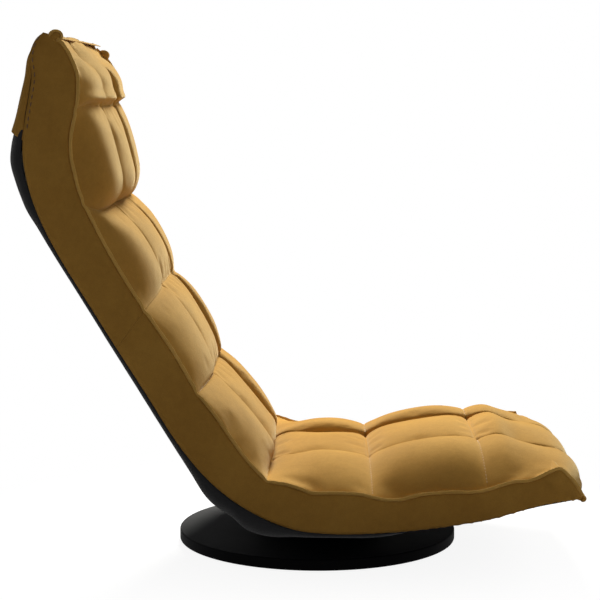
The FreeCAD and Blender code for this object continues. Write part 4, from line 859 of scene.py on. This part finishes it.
def side_grid(s0, s1, count, sign, seed):
    """Velvet of one side between two arc lengths of the piping, from the piping to the hem."""
    s = np.linspace(s0, s1, count)
    top = rim(s, sign)
    low = hem_at(s)
    gathered = np.exp(-(s / GATHERED_TO) ** 2)
    sway = waver(s, 31.0, seed, 2.0)
    low[:, 1] += 1.8 * gathered * np.abs(np.sin(s / 4.6 + 2.0 * sway))
    w = np.linspace(0, 1, 15)
    swell = VELVET_OUT + VELVET_SWELL * np.sin(math.pi * w ** 0.85) ** 0.8
    grid = np.array([np.column_stack([sign * swell, a + (b - a) * w[:, None]])
                     for a, b in zip(top, low)])
    fade = np.sin(math.pi * w) ** 0.5
    drag = np.sin((s[:, None] + 18 * w[None]) / 7.5 + 3.2 * rumple(grid, 60, seed))
    puck = np.sin(s[:, None] / 3.2 + 2.4 * rumple(grid, 24, seed + 1)) * np.exp(-w[None] / 0.2)
    soft = 0.9 * rumple(grid, 34, seed + 2)
    more = 1 + 1.3 * gathered[:, None]
    lift = fade[None] * more * (0.55 * drag * np.abs(rumple(grid, 90, seed + 3)) + soft)
    grid[..., 0] += sign * (lift + 0.35 * puck)
    return grid


SPLIT = piping.find(seen([(-225, 363)])[0])
HALVES = (("low", 0, SPLIT, ("seat", "back"), FOLD_ZONE),
          ("high", SPLIT, piping.length, ("back", "head"), HEAD_ZONE))
SIDES = ((-1, "right"), (1, "left"))
# Of each half: its cells, the quilt it lies on, the panels it stands for, and the pieces that
# join those, which the right side's sheets stand for
PANELS = {"low": (300, lower, ("seat_side_panel_", "back_side_panel_"), "fold_side_gussets"),
          "high": (190, upper, ("head_side_panel_",), "neck_side_panels")}
FLAP_FROM = 598
flap_lines = []
for sign, word in SIDES:
    for half, s0, s1, bodies, where in HALVES:
        count, quilt, panels, joining = PANELS[half]
        g = side_grid(s0, s1, count, sign, 21)
        o = shell("side_velvet_%s_%s" % (half, word), g, VELVET, GOLD, sign > 0)
        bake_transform(o)
        names = [panel + word for panel in panels]
        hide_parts(*(names + [joining] if sign < 0 else names))
    line = g[g[:, -1, 2] > FLAP_FROM][:, -2].copy()
    line[:, 0] += sign * 0.5
    flap_lines.append(line)


# ---- piping

PIPING_PROFILE = [(-1.2, -1.6), (-1.2, 0.3), (-0.9, 0.75), (-0.35, 1.0), (0.35, 1.0),
                  (0.9, 0.75), (1.2, 0.3), (0.9, -1.2)]
PIPING_OUT = 260.6      # the piping's middle, from the chair's
PIPING_HIGH = 3.3
PIPING_STEP = 1.8


def piping_strip(s0, s1, sign, seed):
    """A flat welt that stands up along the edge, and dips where a cross seam meets it."""
    s = np.linspace(s0, s1, int((s1 - s0) / PIPING_STEP) + 1)
    c = rim(s, sign)
    out = outward(s)
    wob = waver(s, 26.0, seed, sign * 3.0)
    fine = waver(s, 7.0, seed + 9, sign * 3.0)
    kink = sum(np.exp(-((s - k) / 5.0) ** 2) for k in CROSSES[3:-1])
    high = PIPING_HIGH + 0.8 * wob + 0.4 * fine - 1.2 * kink
    lean = 0.4 + 0.3 * wob
    rows = []
    for j in range(len(s)):
        row = []
        for a, h in PIPING_PROFILE:
            rise = high[j] * h if h > 0 else h
            x = PIPING_OUT + a + max(0.0, rise) * lean[j]
            lift = rise - 1.1 * kink[j]
            row.append((sign * x, c[j, 0] + out[j, 0] * lift, c[j, 1] + out[j, 1] * lift))
        rows.append(row)
    return np.array(rows)


def tube(name, grid, material, flip):
    """A strip whose profile closes on itself, with closed ends."""
    ids = numbered(*grid.shape[:2])
    faces = ring_faces(ids) + [ids[0], ids[-1][::-1]]
    obj = mesh_object(name, grid.reshape(-1, 3), [f[::-1] if flip else f for f in faces])
    obj.data.materials.append(material)
    return obj


for sign, word in SIDES:
    for half, s0, s1, bodies, where in HALVES:
        g = piping_strip(s0 - 0.5 * (half == "high"), s1 + 0.5 * (half == "low"), sign, 2.0)
        # The piping is made in the lighter velvet, a painted highlight along its raised top.
        o = tube("piping_%s_%s" % (half, word), g, PAINTED_LIT_TRIM, sign > 0)
        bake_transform(o)


ROLL_SIDES = 10


def circle(spot, size, first, second, sides):
    """Points round a spot, in the plane of two directions."""
    return [spot + size * (first * math.cos(a) + second * math.sin(a))
            for a in [2 * math.pi * k / sides for k in range(sides)]]


def add_roll(name, places, radius, seed, material, body):
    """Round roll of cloth along 3-D places, a little uneven."""
    line, arc = spline(places, 8)
    ahead = unit(np.gradient(line, axis=0))
    first = unit(np.cross(ahead, np.array([0.31, 0.52, 0.8])))
    second = np.cross(ahead, first)
    sizes = radius * (1 + 0.18 * waver(arc, 11.0, seed, 0.5))
    rows = []
    for j, spot in enumerate(line):
        size = sizes[j] * min(1.0, 0.45 + min(j, len(line) - 1 - j) * 0.28)
        rows.append(circle(spot, size, first[j], second[j], ROLL_SIDES))
    o = tube(name, np.array(rows), material, False)
    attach(o, body)


# The roll along the seat's front hem
HEM_HALF = 258.0
x = np.linspace(-HEM_HALF, HEM_HALF, 32)
sway = 1.2 * waver(x, 60.0, 7.0, 0.0)
middle = [x, -349.5 + sway - 2.0 * (1 - abs(x) / HEM_HALF), 115.5 + sway]
add_roll("front_hem_roll", np.stack(middle, -1), 4.4, 5.0, GOLD, "seat")

# A folded ear of velvet at each upper corner of the head, with a loop of piping round it
EAR = seen([(-335, 716.5)])[0]
EAR_SETTLED = 15.0      # the left one lies lower
EAR_HALF = (3.4, 7.6, 6.2)      # half its width, depth and height
LOOP_HALF = (8.0, 6.5)          # half the loop's depth and height
for sign, word in SIDES:
    y, z = EAR[0], EAR[1] - EAR_SETTLED * (sign > 0)
    loop = []
    for k in range(17):
        a = math.radians(-172 + 21.5 * k)
        loop.append((sign * 261.0, y + LOOP_HALF[0] * math.sin(a),
                     z + LOOP_HALF[1] * math.cos(a)))
    # The loop is made in the piping's lighter velvet, a painted highlight.
    add_roll("head_fold_loop_" + word, loop, 1.8, 8.0 + sign, PAINTED_LIT_TRIM, "head")
    rings = []
    for k in range(9):
        b = math.pi * (k + 0.02) / 8.04
        wide, deep, high = EAR_HALF * np.array([math.cos(b), math.sin(b), math.sin(b)])
        rings.append([(sign * (259.5 - wide), y + deep * math.sin(math.pi * i / 8),
                       z + high * math.cos(math.pi * i / 8)) for i in range(16)])
    ear = tube("head_fold_" + word, np.array(rings), GOLD, sign > 0)
    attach(ear, "head")


# ---- stitches

STITCH_SHAPE = (0.35, 0.85, 1.0, 0.85, 0.35)
STITCH_SIDES = 6


def stitches(name, runs, length, gap, radius, bodies, where, material=THREAD):
    """Short thread stitches along lines that lie on the cloth."""
    rings = len(STITCH_SHAPE)
    points = []
    faces = []
    for line in runs:
        arc = arc_of(line)
        for start in np.arange(1.0, arc[-1] - length, length + gap):
            c = read_at(np.linspace(start, start + length, rings), arc, line)
            t = unit(c[-1] - c[0])
            a = unit(np.cross(t, (0.3, 0.5, 0.81)))
            b = np.cross(t, a)
            ids = numbered(rings, STITCH_SIDES)[:, ::-1] + len(points)
            faces += ring_faces(ids) + [ids[0], ids[-1][::-1]]
            for size, spot in zip(STITCH_SHAPE, c):
                points += circle(spot, radius * size, a, b, STITCH_SIDES)
    o = mesh_object(name, points, faces)
    o.data.materials.append(material)
    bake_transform(o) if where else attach(o, bodies)


def cross_lines(grid, row):
    """The outer columns' parts of a cross seam, just clear of the cloth."""
    raised = grid[row] + normals(grid)[row] * 0.5
    raised[:, 0] = grid[row, :, 0]
    cut = COLUMN_CELLS
    return [raised[2:cut - 1], raised[-cut + 1:-2]]


stitches("seat_cross_stitches",
         cross_lines(lower_grid, CELLS) + cross_lines(lower_grid, 2 * CELLS),
         4.2, 3.4, 0.55, "seat", None)
stitches("back_cross_stitches", cross_lines(lower_grid, 4 * CELLS), 4.2, 3.4, 0.5, "back", None)
# The flap's topstitch uses the dark thread, a painted shade of the sunk stitches.
stitches("flap_topstitch", flap_lines, 6.0, 3.5, 0.8, ("back", "head"), HEAD_ZONE, PAINTED_SHADE_THREAD)


# ---- black covers and rear flap

COVER = 1.2             # thickness of the rear cloth
COVER_HALF = 259.0      # its hems, from the middle
COVER_ROUND = 34.0      # width of the round from the hem to the rear face


def cover_grid(edge, rear, seed, plain):
    """Cloth from one hem over the rear face to the other; plain rows run in without a round."""
    quarter = np.linspace(0, math.pi / 2, 11)
    ends = COVER_HALF - COVER_ROUND * (1 - np.cos(quarter))
    face = COVER_HALF - COVER_ROUND
    inner = np.linspace(face, -face, 60)[1:-1]
    xs = np.concatenate([ends, inner, -ends[::-1]])
    turned = np.sin(quarter) ** 0.9
    mixes = np.concatenate([turned, np.ones(len(inner)), turned[::-1]])
    slant = np.clip((COVER_HALF - np.abs(xs)) / COVER_ROUND, 0, 1)
    rows = []
    for e, r, k in zip(edge, rear, plain):
        share = mixes * (1 - k) + slant * k
        rows.append(np.column_stack([xs, e[None] + (r - e)[None] * share[:, None]]))
    grid = np.array(rows)
    flat = np.clip(1 - np.abs(grid[..., 0]) / face, 0, 1) ** 0.6
    folds = (0.6 * rumple(grid * np.array([0.45, 1, 1]), 46, seed)
             + 0.35 * rumple(grid, 19, seed + 1))
    return grid, flat, folds


OUTER = 41.5            # rear face of the back, in the back's own frame
HEM_LINE = 31           # and the line of its hems
BOTTOM = -12.3          # bottom of the seat, from the line of its frame
NOSE_BOTTOM = -10.4
rear_low = ([(-f, seat_line(f) + NOSE_BOTTOM) for f in (336, 281, 228, 181)]
            + [(-f, seat_line(f) + BOTTOM) for f in (128, 95, 50, 0, -31, -64)]
            + [(93, 66), (115, 85), back(36.3, 33.4), back(41.5, 54)]
            + [back(OUTER, z) for z in (90, 140, 200, 260, 321)])
edge_low = seen([
    (340, 113), (281, 101), (228, 86), (181, 78), (128, 70), (95, 67), (50, 66), (0, 67),
    (-31, 72), (-63, 82), (-90, 97), (-115, 112), (-136, 131), (-147, 142)])
edge_low += [tuple(hem.at(hem.find(back(HEM_LINE, z)))) for z in (90, 140, 200, 260, 321)]


def matched(edges, rears, per):
    """Both lines cut at the same matched places."""
    a = Line(edges)
    b = Line(rears)
    ka = np.array([a.find(p) for p in edges])
    kb = np.array([b.find(p) for p in rears])
    t = np.linspace(0, len(edges) - 1, per)
    k = np.arange(len(edges))
    return a.at(np.interp(t, k, ka)), b.at(np.interp(t, k, kb))


MIDDLE = np.array([240.0, 380.0])       # a place inside the chair
PLAIN_FROM = 60.0       # forward of this the seat's cover has no round
DEEPEST = -0.4          # folds don't dip below this, so the bars don't come through


def add_cover(name, edges, rears, count, seed, material, nodes,
              window=None):
    """Cloth between two hems; the window is cut out: its half width, front and rear."""
    a, b = matched(edges, rears, count)
    plain = np.clip((-PLAIN_FROM - a[:, 0]) / 60, 0, 1) * (a[:, 1] < 200)
    grid, flat, folds = cover_grid(a, b, seed, plain)
    n = normals(grid)
    flip = float((n[..., 1:] * (grid[..., 1:] - MIDDLE)).sum(-1).mean()) < 0
    out = -n if flip else n
    grid = grid + out * np.maximum(folds * (0.3 + 0.7 * flat) + 0.3 * flat, DEEPEST)[..., None]
    hole = None
    if window:
        half, front, rear = window
        x, y, z = np.moveaxis((grid[1:, 1:] + grid[:-1, :-1]) / 2, -1, 0)
        hole = (abs(x) < half) & (y > front) & (y < rear) & (z < 80)
    o = shell(name, grid, COVER, material, flip, hole)
    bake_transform(o)
    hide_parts(*nodes)


add_cover("black_cover_low", edge_low, rear_low, 250, 41, BLACK,
          ["seat_bottom_cover", "corner_cover", "back_rear_cover"],
          (96, -79, 66))
edge_high = ([tuple(hem.at(hem.find(back(HEM_LINE, z)))) for z in (321, 380, 440)]
             + seen([(-359, 482), (-369, 507), (-378, 534), (-382, 559), (-381, 586),
                     (-379, 597)]))
rear_high = ([back(OUTER, z) for z in (321, 380, 440, 470)]
             + [back(OUTER, 500), back(34.5, 536), (401, 557), (399, 580), (395, 597)])
add_cover("black_cover_high", edge_high, rear_high, 130, 47, BLACK,
          ["neck_rear_cover"])
edge_flap = seen([(-380, 583), (-377, 613), (-373, 634), (-368, 665), (-367, 690), (-359, 709),
                  (-351, 719), (-339, 716)])
rear_flap = seen([(-399, 595), (-393, 613), (-388, 634), (-380, 665), (-375, 690), (-363, 709),
                  (-351, 719), (-339, 716)])
add_cover("head_rear_flap", edge_flap, rear_flap, 70, 53, GOLD,
          ["head_rear_cover"])


# ---- stage, lights and camera

def seen_directly(nt):
    """1 where a ray comes from the camera or by a reflection, 0 where it carries light."""
    path = add_node(nt, "LightPath", {})
    found = path.outputs["Is Camera Ray"]
    for other in ("Is Glossy Ray", "Is Transmission Ray"):
        found = add_node(nt, "Math", {0: found, 1: path.outputs[other]},
                         operation="MAXIMUM").outputs[0]
    return found


def shader(nt, kind, inputs):
    return add_node(nt, kind, inputs).outputs[0]


def lit_and_seen(nt, output, lighting, look):
    """One shader for the light it throws, another for how it looks."""
    chosen = shader(nt, "MixShader", {0: seen_directly(nt), 1: lighting, 2: look})
    add_node(nt, output, {"Surface": chosen})


# Pale floor: it takes a shadow round the chair and fades to plain white further out
FADE_FROM = 0.16
FADE_TO = 0.6
EDGE = 6000
floor = mesh_object("floor", [(-EDGE, -EDGE, 0), (EDGE, -EDGE, 0), (EDGE, EDGE, 0),
                              (-EDGE, EDGE, 0)], [(0, 1, 2, 3)], False)
floor_material = bpy.data.materials.new("pale_floor")
nt = empty_tree(floor_material)
distance = add_node(nt, "VectorMath", {0: add_node(nt, "TexCoord", {}).outputs["Object"]},
                    operation="LENGTH").outputs["Value"]
fade = add_node(nt, "MapRange", {"Value": distance, "From Min": FADE_FROM, "From Max": FADE_TO},
                interpolation_type="SMOOTHSTEP").outputs["Result"]
near = shader(nt, "AddShader", {0: shader(nt, "BsdfDiffuse", {"Color": grey(0.32)}),
                                1: shader(nt, "Emission", {"Strength": 0.9})})
far = shader(nt, "Emission", {})
lit_and_seen(nt, "OutputMaterial", shader(nt, "BsdfDiffuse", {"Color": (0.42, 0.41, 0.39, 1)}),
             shader(nt, "MixShader", {0: fade, 1: near, 2: far}))
floor.data.materials.append(floor_material)

world = bpy.data.worlds.new("studio")
bpy.context.scene.world = world
nt = empty_tree(world)
lit_and_seen(nt, "OutputWorld",
             shader(nt, "Background", {"Color": (1.0, 0.97, 0.92, 1), "Strength": 0.17}),
             shader(nt, "Background", {"Color": grey(1), "Strength": 1.0}))


def lamp(name, place, size, power, colour=(1, 1, 1)):
    """Round soft lamp that looks at the chair."""
    data = bpy.data.lights.new(name, "AREA")
    data.shape = "DISK"
    data.size = size
    data.energy = power
    data.color = colour
    obj = bpy.data.objects.new(name, data)
    obj.location = place
    obj.rotation_euler = (LIT - Vector(place)).to_track_quat("-Z", "Y").to_euler()
    bpy.context.scene.collection.objects.link(obj)


LIT = Vector((0, 0.1, 0.3))
lamp("key", (2.95, -0.1, 1.82), 0.9, 280, (1, 0.985, 0.93))
lamp("front", (0.6, -1.8, 2.0), 1.2, 5)
lamp("fill", (-2.2, -1.6, 1.5), 1.6, 1.6)

PITCH = math.radians(6.60)
YAW = math.radians(0.51)
AIM = Vector((math.cos(PITCH) * math.cos(YAW), math.cos(PITCH) * math.sin(YAW),
              -math.sin(PITCH)))
camera_data = bpy.data.cameras.new("camera")
camera_data.sensor_width = 36
camera_data.lens = 108.72
camera_data.clip_end = 100
camera = bpy.data.objects.new("camera", camera_data)
camera.location = (-2.5967, 0.002, 0.6492)
camera.rotation_euler = AIM.to_track_quat("-Z", "Y").to_euler()
scene = bpy.context.scene
scene.collection.objects.link(camera)
scene.camera = camera
scene.view_settings.view_transform = "Standard"
